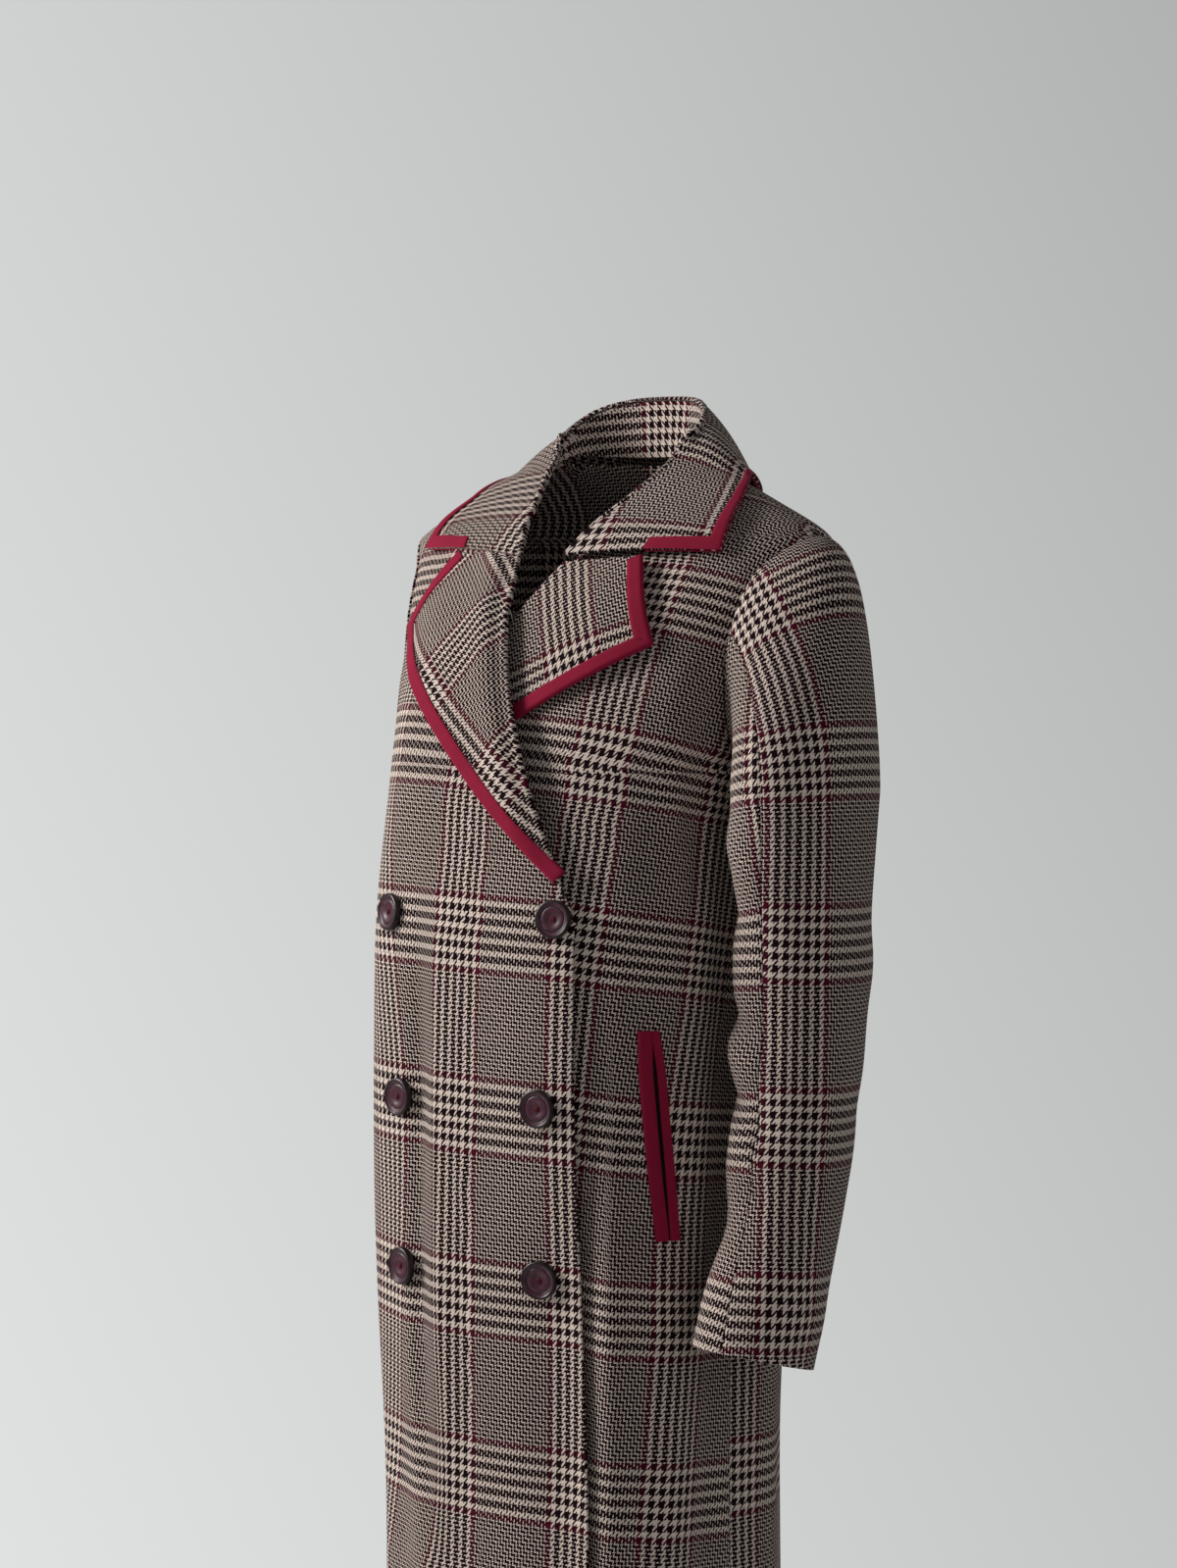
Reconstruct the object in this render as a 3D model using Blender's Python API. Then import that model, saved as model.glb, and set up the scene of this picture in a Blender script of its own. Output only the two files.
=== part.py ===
"""Double-breasted wool coat with notched lapels, worn shape, hollow inside.

Metres, +Z up. The wearer faces -Y and the wearer's left side is +X. The origin lies at the neck,
midway between the two points where the shoulder seams meet the collar.
"""
import math

import bmesh
import bpy
import numpy as np
from mathutils import Vector

# Cloth and seams
CLOTH_WALL = 0.002
SEAM_GAP = 0.0003
SEAM_SPREAD = 0.0009
RIDGE_SPREAD = 0.0011

# Heights, measured from the neck point
HEM_Z = -1.060
UNDERARM_Z = -0.230
SHOULDER_TIP_Z = -0.058
NECK_Z = -0.003

# Sections of the worn coat, hem to neck. side_y is where the side seam or the shoulder seam runs,
# front and back are depths from y = 0, and the powers say how square each half's curve is.
SECTION_COLUMNS = ("z", "half_width", "front", "back", "side_y", "front_power", "back_power")
SECTIONS = (
    (-1.080, 0.145, 0.119, 0.126, 0.000, 2.90, 2.50),
    (-0.900, 0.139, 0.116, 0.124, 0.000, 2.95, 2.50),
    (-0.745, 0.137, 0.116, 0.122, 0.000, 3.00, 2.50),
    (-0.600, 0.142, 0.122, 0.119, 0.000, 3.10, 2.50),
    (-0.440, 0.145, 0.126, 0.112, 0.002, 3.20, 2.40),
    (-0.340, 0.146, 0.126, 0.108, 0.004, 3.10, 2.40),
    (-0.240, 0.148, 0.114, 0.113, 0.010, 2.80, 2.40),
    (-0.205, 0.155, 0.107, 0.115, 0.014, 2.60, 2.40),
    (-0.171, 0.165, 0.098, 0.115, 0.020, 2.40, 2.35),
    (-0.140, 0.174, 0.085, 0.114, 0.025, 2.20, 2.25),
    (-0.113, 0.184, 0.071, 0.111, 0.028, 2.05, 2.15),
    (-0.086, 0.193, 0.053, 0.107, 0.031, 1.88, 2.05),
    (-0.058, 0.192, 0.031, 0.101, 0.034, 1.80, 2.00),
    (-0.030, 0.136, -0.001, 0.094, 0.038, 1.80, 2.00),
    (-0.003, 0.074, -0.026, 0.088, 0.043, 1.90, 2.00),
    (0.012, 0.060, -0.034, 0.084, 0.045, 2.00, 2.00),
)

# The worn coat hangs a little lower on the wearer's left shoulder
SHOULDER_LEAN = 0.034
LEAN_FROM_Z = -0.340
LEAN_SPAN = 0.250

# Armhole, an oval seen from the side
ARMHOLE_HALF_DEPTH = 0.054
ARMHOLE_Y_TOP = 0.034
ARMHOLE_Y_BOTTOM = 0.014

# Overlap of the fronts, right over left
FRONT_EDGE_X = 0.092
OVERLAP_BLEND = 0.040
OUTER_FRONT_LIFT = 0.0018
INNER_FRONT_DROP = 0.0016
OVER_LAPEL_LIFT = 0.0053
OVER_LAPEL_REACH = 0.110
OVER_LAPEL_BLEND = 0.040

# Roll lines: where each lapel turns out, from its break up to the neck. x is measured towards
# the front's own side, so a break across the centre is negative.
ROLL_TOP = (0.060, -0.008)
ROLL_GORGE = (0.022, -0.080)
NECK_CORNER = (0.071, -0.003)
BREAK = {"left": (-0.070, -0.240), "right": (-0.091, -0.320)}

# Lapel corners
LAPEL_TIP = {"left": (0.115, -0.138), "right": (0.124, -0.130)}
NOTCH = (0.082, -0.082)
NOTCH_SHARE = 0.5
LAPEL_LIFT = 0.0050
TUCKED_LIFT = 0.0013
ROLL_LIFT = 0.0030
ROLL_WIDTH = 0.018
LAPEL_BOW = {"left": 0.003, "right": 0.000}

# Collar, one row for each place from the centre back to the front end
COLLAR_COLUMNS = ("neck_x", "neck_y", "neck_z", "roll_x", "roll_y", "roll_z",
                  "edge_x", "edge_y", "edge_z")
COLLAR_ROWS = (
    (0.000, 0.0875, 0.002, 0.000, 0.0900, 0.046, 0.000, 0.1170, -0.034),
    (0.030, 0.0820, 0.002, 0.034, 0.0850, 0.044, 0.051, 0.1100, -0.033),
    (0.056, 0.0640, 0.002, 0.055, 0.0660, 0.035, 0.092, 0.0860, -0.024),
    (0.068, 0.0430, -0.002, 0.0615, 0.0430, 0.016, 0.113, 0.0500, -0.012),
    (0.066, 0.0250, -0.014, 0.059, 0.0220, -0.009, 0.126, 0.0290, -0.031),
    (0.052, -0.0020, -0.038, 0.045, -0.0060, -0.038, 0.134, 0.0080, -0.054),
    (0.030, -0.0420, -0.070, 0.022, -0.0440, -0.0785, 0.140, -0.0120, -0.0735),
)
COLLAR_BULGE = 0.008
STAND_INSET = 0.0022
COLLAR_CLEARANCE = 0.0056

# Crimson edge binding and pocket welts
BINDING_WIDTH = 0.012
BINDING_WALL = 0.0018
BINDING_ABOVE = 0.0028
WELT_ABOVE = 0.0024
WELT_TOP = (0.148, -0.424)
WELT_BOTTOM = (0.158, -0.557)
WELT_WIDTH = 0.011
WELT_SLIT = 0.0012

# Sleeves, one row for each ring along the arm, the wearer's left then right
SLEEVE_COLUMNS = ("z", "x", "y", "half_width", "half_depth")
LEFT_SLEEVE = (
    (-0.240, 0.2050, -0.001, 0.0450, 0.0600),
    (-0.330, 0.2040, -0.004, 0.0425, 0.0545),
    (-0.440, 0.2020, -0.007, 0.0405, 0.0510),
    (-0.515, 0.1990, -0.017, 0.0390, 0.0480),
    (-0.580, 0.1960, -0.031, 0.0385, 0.0450),
    (-0.636, 0.1920, -0.043, 0.0390, 0.0440),
)
RIGHT_SLEEVE = (
    (-0.240, 0.1900, 0.078, 0.0400, 0.0540),
    (-0.330, 0.1860, 0.092, 0.0390, 0.0510),
    (-0.440, 0.1850, 0.102, 0.0385, 0.0490),
    (-0.515, 0.1840, 0.107, 0.0380, 0.0480),
    (-0.580, 0.1830, 0.110, 0.0385, 0.0460),
    (-0.640, 0.1820, 0.111, 0.0390, 0.0450),
)
FRONT_SLEEVE_SEAM = math.radians(80)
BACK_SLEEVE_SEAM = math.radians(-105)
SLEEVE_HEAD_OUT = 0.135
SLEEVE_HEAD_GAP = (0.0011, 0.0024)

# Buttons: height, and how far each column lies from the centre front
BUTTON_COLUMNS = ("z", "x")
BUTTON_ROWS = ((-0.333, 0.0785), (-0.465, 0.0665), (-0.586, 0.0615))
BUTTON_RADIUS = 0.0135
BUTTON_THICKNESS = 0.0042
BUTTON_STANDOFF = 0.0009
BUTTON_RIM = 0.0026
BUTTON_DISH = 0.0011
BUTTON_SIDES = 20

# Mesh density
BACK_COLUMNS = 8
FRONT_COLUMNS = 12
BODY_ROWS = 11
ARMHOLE_ROWS = 8
SHOULDER_ROWS = 4
SLEEVE_ROWS = 7
SLEEVE_HEAD_ROWS = 5
UPPER_SLEEVE_COLUMNS = 11
UNDER_SLEEVE_COLUMNS = 9
LAPEL_ROWS = 15
LAPEL_COLUMNS = 7
COLLAR_COLUMNS_ROUND = 26
COLLAR_SHARES_ACROSS = (1, 0.87, 0.74, 0.5, 0.25, 0)


# ---------------------------------------------------------------- curves and sections

def smooth(at, knots, values):
    """Values at the given places on a smooth curve through a table's knots."""
    knots = np.asarray(knots, float)
    values = np.asarray(values, float)
    at = np.asarray(at, float)
    slopes = np.gradient(values, knots, axis=0)
    index = np.clip(np.searchsorted(knots, at, side="right") - 1, 0, len(knots) - 2)
    span = knots[index + 1] - knots[index]
    t = (at - knots[index]) / span
    if values.ndim > 1:
        t = t[..., None]
        span = span[..., None]
    start = values[index] * (1 + 2 * t) * (1 - t) ** 2 + slopes[index] * span * t * (1 - t) ** 2
    end = values[index + 1] * t * t * (3 - 2 * t) + slopes[index + 1] * span * t * t * (t - 1)
    return start + end


def section(z):
    """Half width, front depth, back depth, side y and both powers of the coat at height z."""
    table = np.array(SECTIONS)
    return np.moveaxis(smooth(z, table[:, 0], table[:, 1:]), -1, 0)


def torso_point(angle, z):
    """Point of the coat's form: angle 0 is the centre front, pi / 2 the side, pi the centre back."""
    width, front, back, side_y, front_power, back_power = section(z)
    sine, cosine = np.sin(angle), np.cos(angle)
    power = np.where(cosine > 0, front_power, back_power)
    x = width * np.sign(sine) * np.abs(sine) ** (2 / power)
    depth = np.where(cosine > 0, front + side_y, back - side_y)
    y = side_y - depth * np.sign(cosine) * np.abs(cosine) ** (2 / power)
    return np.stack(np.broadcast_arrays(x, y, z), axis=-1)


def angle_at_x(x, z):
    """Angle of the front point that lies x from the centre."""
    width, _, _, _, power, _ = section(z)
    share = np.clip(np.abs(x) / width, 0, 1)
    return np.sign(x) * np.arcsin(share ** (power / 2))


def angle_at_y(y, z):
    """Angle of the point on the left half at depth y."""
    _, front, back, side_y, front_power, back_power = section(z)
    ahead = side_y - y
    depth = np.where(ahead > 0, front + side_y, back - side_y)
    power = np.where(ahead > 0, front_power, back_power)
    share = np.clip(np.abs(ahead) / depth, 0, 1) ** (power / 2)
    return np.arccos(np.sign(ahead) * share)


def outside(points):
    """Distance of points outside the coat's form, and the direction straight out of it."""
    def level(p):
        height = np.clip(p[..., 2], HEM_Z, SECTIONS[-1][0])
        width, front, back, side_y, front_power, back_power = section(height)
        ahead = side_y - p[..., 1]
        depth = np.where(ahead > 0, front + side_y, back - side_y)
        power = np.where(ahead > 0, front_power, back_power)
        total = np.abs(p[..., 0] / width) ** power + np.abs(ahead / depth) ** power
        return total ** (1 / power) - 1
    step = 1e-4
    here = level(points)
    slope = np.stack([(level(points + step * axis) - level(points - step * axis)) / (2 * step)
                      for axis in np.eye(3)], axis=-1)
    length = np.linalg.norm(slope, axis=-1)
    return here / length, slope / length[..., None]


def keep_clear(points, least):
    """Points moved out of the coat's form until they are at least that far from it."""
    for _ in range(4):
        distance, out = outside(points)
        short = np.clip(least - distance, 0, None)
        points = points + out * short[..., None]
    return points


def grid_normals(grid):
    """Unit normals of a grid of points, by its rows and columns."""
    along = np.gradient(grid, axis=1)
    up = np.gradient(grid, axis=0)
    normal = np.cross(along, up)
    return normal / np.linalg.norm(normal, axis=-1, keepdims=True)


def mirrored(grid):
    """The same grid on the wearer's right, its columns reversed so that it still faces out."""
    return (grid * (-1, 1, 1))[:, ::-1]


# ---------------------------------------------------------------- body panels

def armhole_point(turn):
    """Armhole at an angle round it: 0 at the shoulder tip, pi / 2 at the front, pi underneath."""
    middle_z = (SHOULDER_TIP_Z + UNDERARM_Z) / 2
    half_height = (SHOULDER_TIP_Z - UNDERARM_Z) / 2
    z = middle_z + half_height * np.cos(turn)
    share = (1 + np.cos(turn)) / 2
    middle_y = ARMHOLE_Y_BOTTOM + (ARMHOLE_Y_TOP - ARMHOLE_Y_BOTTOM) * share
    y = middle_y - ARMHOLE_HALF_DEPTH * np.sin(turn)
    return torso_point(angle_at_y(y, z), z)


def armhole_turn(z):
    """Angle round the armhole at height z, on the front half."""
    middle_z = (SHOULDER_TIP_Z + UNDERARM_Z) / 2
    half_height = (SHOULDER_TIP_Z - UNDERARM_Z) / 2
    return np.arccos(np.clip((z - middle_z) / half_height, -1, 1))


def side_angle(z, front):
    """Angle where a panel ends at height z: side seam, armhole or shoulder seam."""
    middle = math.pi / 2
    if z <= UNDERARM_Z or z >= SHOULDER_TIP_Z:
        return middle
    turn = armhole_turn(z)
    point = armhole_point(turn if front else -turn)
    return float(angle_at_y(point[1], z))


def panel_heights():
    """Heights of the rows that every body panel shares."""
    turns = np.linspace(math.pi, 0, ARMHOLE_ROWS + 1)
    armhole = armhole_point(turns)[:, 2]
    body = np.linspace(HEM_Z, UNDERARM_Z, BODY_ROWS + 1)[:-1]
    shoulder = np.linspace(SHOULDER_TIP_Z, NECK_Z, SHOULDER_ROWS + 1)[1:]
    return np.concatenate([body, armhole, shoulder])


def inner_x(z, side):
    """How far from the centre a front begins: its edge, its roll line, then the neckline."""
    start = BREAK[side]
    if z <= start[1]:
        return -FRONT_EDGE_X
    heights = (start[1], ROLL_GORGE[1], NECK_CORNER[1])
    return float(np.interp(z, heights, (start[0], ROLL_GORGE[0], NECK_CORNER[0])))


def panel_row(z, start, end, columns):
    """Evenly spaced points of the form at one height, clear of the seams at both ends."""
    angles = np.linspace(start, end, 80)
    line = torso_point(angles, np.full_like(angles, z))
    steps = np.linalg.norm(np.diff(line, axis=0), axis=1)
    length = np.concatenate([[0], np.cumsum(steps)])
    spread = SEAM_SPREAD + RIDGE_SPREAD * eased((z - UNDERARM_Z) / 0.15)
    wanted = np.linspace(spread / 2, length[-1] - spread / 2, columns + 1)
    angle = np.interp(wanted, length, angles)
    return torso_point(angle, np.full_like(angle, z))


def eased(share):
    """A share from 0 to 1, eased in and out."""
    share = np.clip(share, 0, 1)
    return share * share * (3 - 2 * share)


def outer_lift(x, z):
    """How far the right front stands off the form where it passes over the left front and lapel."""
    overlap = OUTER_FRONT_LIFT * eased((FRONT_EDGE_X + OVERLAP_BLEND - x) / OVERLAP_BLEND)
    near_roll = eased((OVER_LAPEL_REACH - x) / OVER_LAPEL_BLEND)
    height = eased((z + 0.300) / 0.060) * eased((-0.095 - z) / 0.035)
    return overlap + OVER_LAPEL_LIFT * near_roll * height


def inner_lift(x, z):
    """How far the left front stands off the form, inwards where the right front covers it."""
    return -INNER_FRONT_DROP * eased((FRONT_EDGE_X + OVERLAP_BLEND - x) / OVERLAP_BLEND) + 0 * z


def front_grid(side):
    """A front as it lies on the wearer's left, lifted or dropped where the two fronts overlap."""
    rows = [panel_row(z, angle_at_x(inner_x(z, side), z), side_angle(z, True), FRONT_COLUMNS)
            for z in panel_heights()]
    grid = np.array(rows)
    lift = inner_lift if side == "left" else outer_lift
    return grid + grid_normals(grid) * lift(grid[..., 0], grid[..., 2])[..., None]


def back_grid():
    """A back on the wearer's left, from its side to the centre back seam."""
    rows = [panel_row(z, side_angle(z, False), math.pi, BACK_COLUMNS) for z in panel_heights()]
    return np.array(rows)


# ---------------------------------------------------------------- lapels, collar and trims

def front_surface(x, z):
    """Point and outward normal of the form's front, x from the centre at height z."""
    points = torso_point(angle_at_x(x, z), z)
    _, out = outside(points)
    return points, out


def roll_distance(x, z, side):
    """Distance of a place on the front from its roll line, towards the lapel's tip."""
    start = np.array(BREAK[side])
    run = np.array(ROLL_TOP) - start
    run = run / np.linalg.norm(run)
    return (x - start[0]) * run[1] - (z - start[1]) * run[0]


def lapel_lift(x, z, side):
    """How far a lapel's middle stands off the form: over its front, and rounder at the roll."""
    away = roll_distance(x, z, side) / ROLL_WIDTH
    if side == "left":
        return TUCKED_LIFT + (LAPEL_LIFT - TUCKED_LIFT) * eased((x - 0.015) / 0.085)
    folded = CLOTH_WALL + SEAM_GAP + 0.0005
    rest = folded + (LAPEL_LIFT - folded) * eased(away)
    above_break = eased((z - BREAK[side][1]) / 0.100)
    roll = ROLL_LIFT * eased(away * 2) * np.exp(-2 * (away - 0.6) ** 2) * above_break
    return outer_lift(x, z) + rest + roll


def lapel_point(x, z, side, above=0.0):
    """A place on the turned lapel: it rolls up at the roll line and settles towards its edge."""
    points, out = front_surface(x, z)
    return points + out * (lapel_lift(x, z, side) + above)[..., None]


def lapel_outline(side):
    """Outer edge of a lapel from its break to its tip, bowed a little, as places x and z."""
    start = np.array(BREAK[side])
    end = np.array(LAPEL_TIP[side])
    t = np.linspace(0, 1, LAPEL_ROWS)[:, None]
    line = start + (end - start) * t
    across = np.array([end[1] - start[1], start[0] - end[0]])
    across = across / np.linalg.norm(across)
    return line + across * LAPEL_BOW[side] * 4 * t * (1 - t)


def lapel_grid(side):
    """The lapel from its roll line to its edge, break to gorge, with the notch in its top row."""
    edge = lapel_outline(side)
    t = np.linspace(0, 1, LAPEL_ROWS)[:, None]
    start = np.array(BREAK[side]) + (edge[1] - edge[0]) * 0.3
    neck, notch = np.array(ROLL_GORGE), np.array(NOTCH)
    roll = start + (neck - start) * t
    edge[0] = start + np.array([0.004, 0.001])
    u = np.linspace(0, 1, LAPEL_COLUMNS)[:, None]
    rows = roll[:, None] + (edge - roll)[:, None] * u
    gorge = neck + (notch - neck) * (u / NOTCH_SHARE)
    slope = notch + (np.array(LAPEL_TIP[side]) - notch) * ((u - NOTCH_SHARE) / NOTCH_SHARE)
    bent = np.where(u <= NOTCH_SHARE, gorge, slope)
    weight = np.clip((t - 0.45) / 0.55, 0, 1) ** 1.5
    rows = rows + weight[:, None] * (bent - rows[-1])
    return lapel_point(rows[..., 0], rows[..., 1], side)


def inset_path(path, width):
    """An open line of places x and z moved in to its left by a width, with mitred corners."""
    steps = np.diff(path, axis=0)
    steps = steps / np.linalg.norm(steps, axis=1, keepdims=True)
    left = np.stack([-steps[:, 1], steps[:, 0]], axis=1)
    before = np.concatenate([left[:1], left])
    after = np.concatenate([left, left[-1:]])
    share = 1 + np.sum(before * after, axis=1, keepdims=True)
    return path + (before + after) / share * width


def lapel_binding_grid(side):
    """Binding along a lapel, from its notch round the tip and down its edge."""
    edge = lapel_outline(side)[1:]
    notch, tip = np.array(NOTCH), np.array(LAPEL_TIP[side])
    short = notch + (tip - notch) * np.array([[0.0], [0.33], [0.67]])
    path = np.concatenate([short, edge[::-1]])
    columns = [inset_path(path, -width) for width in np.linspace(0.0002, BINDING_WIDTH, 3)]
    places = np.stack(columns, axis=1)
    return lapel_point(places[..., 0], places[..., 1], side, BINDING_ABOVE)


def collar_frame(places):
    """Neck seam, roll edge and outer edge of the collar at places from -1 to 1 round the neck."""
    table = np.array(COLLAR_ROWS)
    knots = np.linspace(0, 1, len(table))
    full_knots = np.concatenate([-knots[:0:-1], knots])
    flip = np.tile((-1, 1, 1), 3)
    full = np.concatenate([(table * flip)[:0:-1], table])
    values = smooth(places, full_knots, full)
    return values[..., 0:3], values[..., 3:6], values[..., 6:9]


def collar_point(place, across):
    """A place on the collar's fall: across is 0 at the roll edge and 1 at the outer edge."""
    _, roll, edge = collar_frame(place)
    across = across[..., None]
    away = edge - roll
    away = away / np.linalg.norm(away, axis=-1, keepdims=True)
    up = np.array((0, 0, 1.0)) - away * away[..., 2:3]
    up = up / np.linalg.norm(up, axis=-1, keepdims=True)
    middle = 4 * across * np.clip(1 - across, 0, 1) ** 1.6
    rise = COLLAR_BULGE * middle * (1 - np.abs(place)[..., None] ** 3)
    return keep_clear(roll + (edge - roll) * across + up * rise, COLLAR_CLEARANCE)


def collar_normal(place, across):
    """Outward direction of the collar's fall at a place on it."""
    step = 0.02
    ends = np.clip(place - step, -1, 1), np.clip(place + step, -1, 1)
    edges = np.clip(across - step, 0, 1), np.clip(across + step, 0, 1)
    round_neck = collar_point(ends[1], across) - collar_point(ends[0], across)
    down = collar_point(place, edges[1]) - collar_point(place, edges[0])
    normal = np.cross(round_neck, down)
    return normal / np.linalg.norm(normal, axis=-1, keepdims=True)


def collar_grid():
    """The collar's fall, from the wearer's right end round the back to the left end."""
    places = np.linspace(-1, 1, COLLAR_COLUMNS_ROUND + 1)
    place, across = np.meshgrid(places, COLLAR_SHARES_ACROSS)
    return collar_point(place, across)


def collar_binding_grid():
    """Binding round the collar's free edges, from one notch round the back to the other."""
    run = 0.15
    notch = 0.57
    columns = []
    for width in np.linspace(0.0002, BINDING_WIDTH, 3):
        end = 1 - width / run
        deep = 1 - width / 0.095
        round_neck = np.clip(np.linspace(-1, 1, COLLAR_COLUMNS_ROUND + 1), -end, end)
        long_edge = np.stack([round_neck, np.full_like(round_neck, deep)], axis=1)
        rise = np.linspace(notch, deep, 4)[:-1]
        first = np.stack([np.full(3, -end), rise], axis=1)
        columns.append(np.concatenate([first, long_edge, (first * (-1, 1))[::-1]]))
    places = np.stack(columns, axis=1)
    place, across = places[..., 0], places[..., 1]
    return collar_point(place, across) + collar_normal(place, across) * BINDING_ABOVE


def stand_grid():
    """The collar's stand, inside the neck, from the neck seam up to just below the roll."""
    reach = 0.74
    places = np.linspace(-reach, reach, 19)
    neck, roll, _ = collar_frame(places)
    inward = roll * (-1, -1, 0) + (0, 0.040, 0)
    inward = inward / np.linalg.norm(inward, axis=-1, keepdims=True)
    low = neck + inward * STAND_INSET + (0, 0, 0.001)
    high = roll + inward * 0.0015 - (0, 0, 0.003)
    share = np.linspace(0, 1, 3)[:, None, None]
    return low + (high - low) * share


def welt_grid(side):
    """One welt of the slanted pocket on the wearer's left: side -1 is the forward one."""
    t = np.linspace(0, 1, 7)
    top, bottom = np.array(WELT_TOP), np.array(WELT_BOTTOM)
    line = bottom + (top - bottom) * t[:, None]
    width = np.linspace(WELT_SLIT / 2, WELT_SLIT / 2 + WELT_WIDTH, 3) * side
    width = width if side > 0 else width[::-1]
    rows = []
    for arc, z in line:
        angles = np.linspace(0, math.pi / 2, 200)
        points = torso_point(angles, np.full_like(angles, z))
        steps = np.linalg.norm(np.diff(points, axis=0), axis=1)
        length = np.concatenate([[0], np.cumsum(steps)])
        angle = np.interp(arc + width, length, angles)
        rows.append(torso_point(angle, np.full_like(angle, z)))
    grid = np.array(rows)
    return grid + grid_normals(grid) * WELT_ABOVE


# ---------------------------------------------------------------- sleeves

def sleeve_point(table, share, turn):
    """A place on the sleeve below the underarm: share 0 at the cuff, 1 at the underarm ring."""
    rings = np.array(table)[::-1]
    z = rings[0, 0] + (rings[-1, 0] - rings[0, 0]) * share
    values = np.moveaxis(smooth(z, rings[:, 0], rings[:, 1:]), -1, 0)
    step = 0.004
    ahead = np.moveaxis(smooth(np.minimum(z + step, rings[-1, 0]), rings[:, 0], rings[:, 1:3]), -1, 0)
    behind = np.moveaxis(smooth(np.maximum(z - step, rings[0, 0]), rings[:, 0], rings[:, 1:3]), -1, 0)
    rise = np.minimum(z + step, rings[-1, 0]) - np.maximum(z - step, rings[0, 0])
    lean_x, lean_y = (ahead - behind) / rise
    centre_x, centre_y, half_width, half_depth = values
    across = half_width * np.cos(turn)
    forward = half_depth * np.sin(turn)
    tilt = np.clip(1 - share, 0, 1) ** 0.5
    x = centre_x + across
    y = centre_y - forward
    z = z - tilt * (across * lean_x - forward * lean_y)
    return np.stack([x, y, z], axis=-1)


def sleeve_head_point(table, share, turn):
    """A place on the sleeve's head: share 0 at the underarm ring, 1 at the armhole seam."""
    under = (1 - np.cos(turn)) / 2
    seam = armhole_point(turn)
    clear = SLEEVE_HEAD_GAP[0] + SLEEVE_HEAD_GAP[1] * under
    seam = seam + np.stack([clear, 0 * under, 0 * under], axis=-1)
    ring = sleeve_point(table, np.ones_like(turn), turn)
    distance = np.linalg.norm(seam - ring, axis=-1)
    back = np.clip((ring - seam)[..., 1] / 0.060, -0.5, 1)
    sideways = 1 - 0.6 * np.clip(back, 0, 1)
    backward = 0.7 * back - 0.1 * np.sin(turn)
    out = np.stack([sideways, backward, np.full_like(turn, -0.25)], axis=-1)
    leave = out * (SLEEVE_HEAD_OUT * (1 - under) ** 1.2 + 0.012 * under)[..., None]
    arrive = np.stack([0 * turn, 0 * turn, -distance], axis=-1)
    t = (1 - share)[..., None]
    start = seam * (1 + 2 * t) * (1 - t) ** 2 + leave * t * (1 - t) ** 2
    end = ring * t * t * (3 - 2 * t) + arrive * t * t * (t - 1)
    return start + end


def sleeve_grid(table, start, end, columns):
    """A sleeve panel between two turns round the arm, cuff to armhole."""
    gap = SEAM_SPREAD / 0.042
    turns = np.linspace(start + gap / 2, end - gap / 2, columns + 1)
    low_turn, low_share = np.meshgrid(turns, np.linspace(0, 1, SLEEVE_ROWS + 1)[:-1])
    head_turn, head_share = np.meshgrid(turns, np.linspace(0, 1, SLEEVE_HEAD_ROWS + 1))
    low = sleeve_point(table, low_share, low_turn)
    head = sleeve_head_point(table, head_share, head_turn)
    grid = np.concatenate([low, head])
    return grid[:, ::-1]


# ---------------------------------------------------------------- solids

def material(name, color, roughness):
    """A plain surface in one colour."""
    mat = bpy.data.materials.new(name)
    mat.use_nodes = True
    shader = mat.node_tree.nodes["Principled BSDF"]
    shader.inputs["Base Color"].default_value = (*color, 1)
    shader.inputs["Roughness"].default_value = roughness
    return mat


def leaning(points):
    """Points of the symmetrical form dropped a little on the wearer's left and raised on the right."""
    share = eased((points[..., 2] - LEAN_FROM_Z) / LEAN_SPAN)
    return points - np.stack([0 * share, 0 * share, SHOULDER_LEAN * points[..., 0] * share], axis=-1)


def cloth(name, grid, thickness, mat):
    """A wall of cloth about a grid of points, whose rows run up and columns run to its right."""
    grid = leaning(grid)
    rows, columns = grid.shape[:2]
    index = np.arange(rows * columns).reshape(rows, columns)
    faces = np.stack([index[:-1, :-1], index[:-1, 1:], index[1:, 1:], index[1:, :-1]], axis=-1)
    mesh = bpy.data.meshes.new(name)
    mesh.from_pydata(grid.reshape(-1, 3).tolist(), [], faces.reshape(-1, 4).tolist())
    mesh.materials.append(mat)
    mesh.shade_smooth()
    obj = bpy.data.objects.new(name, mesh)
    bpy.context.scene.collection.objects.link(obj)
    solid = obj.modifiers.new("cloth thickness", "SOLIDIFY")
    solid.thickness = thickness
    solid.offset = 0
    return obj


def facet_point(grid, x, z):
    """Point of a front's middle surface, x from the centre at height z."""
    row = int(np.searchsorted(grid[:, 0, 2], z)) - 1
    low, high = (np.array([np.interp(x, line[:, 0], values) for values in line.T])
                 for line in grid[row:row + 2])
    return low + (high - low) * (z - low[2]) / (high[2] - low[2])


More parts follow.
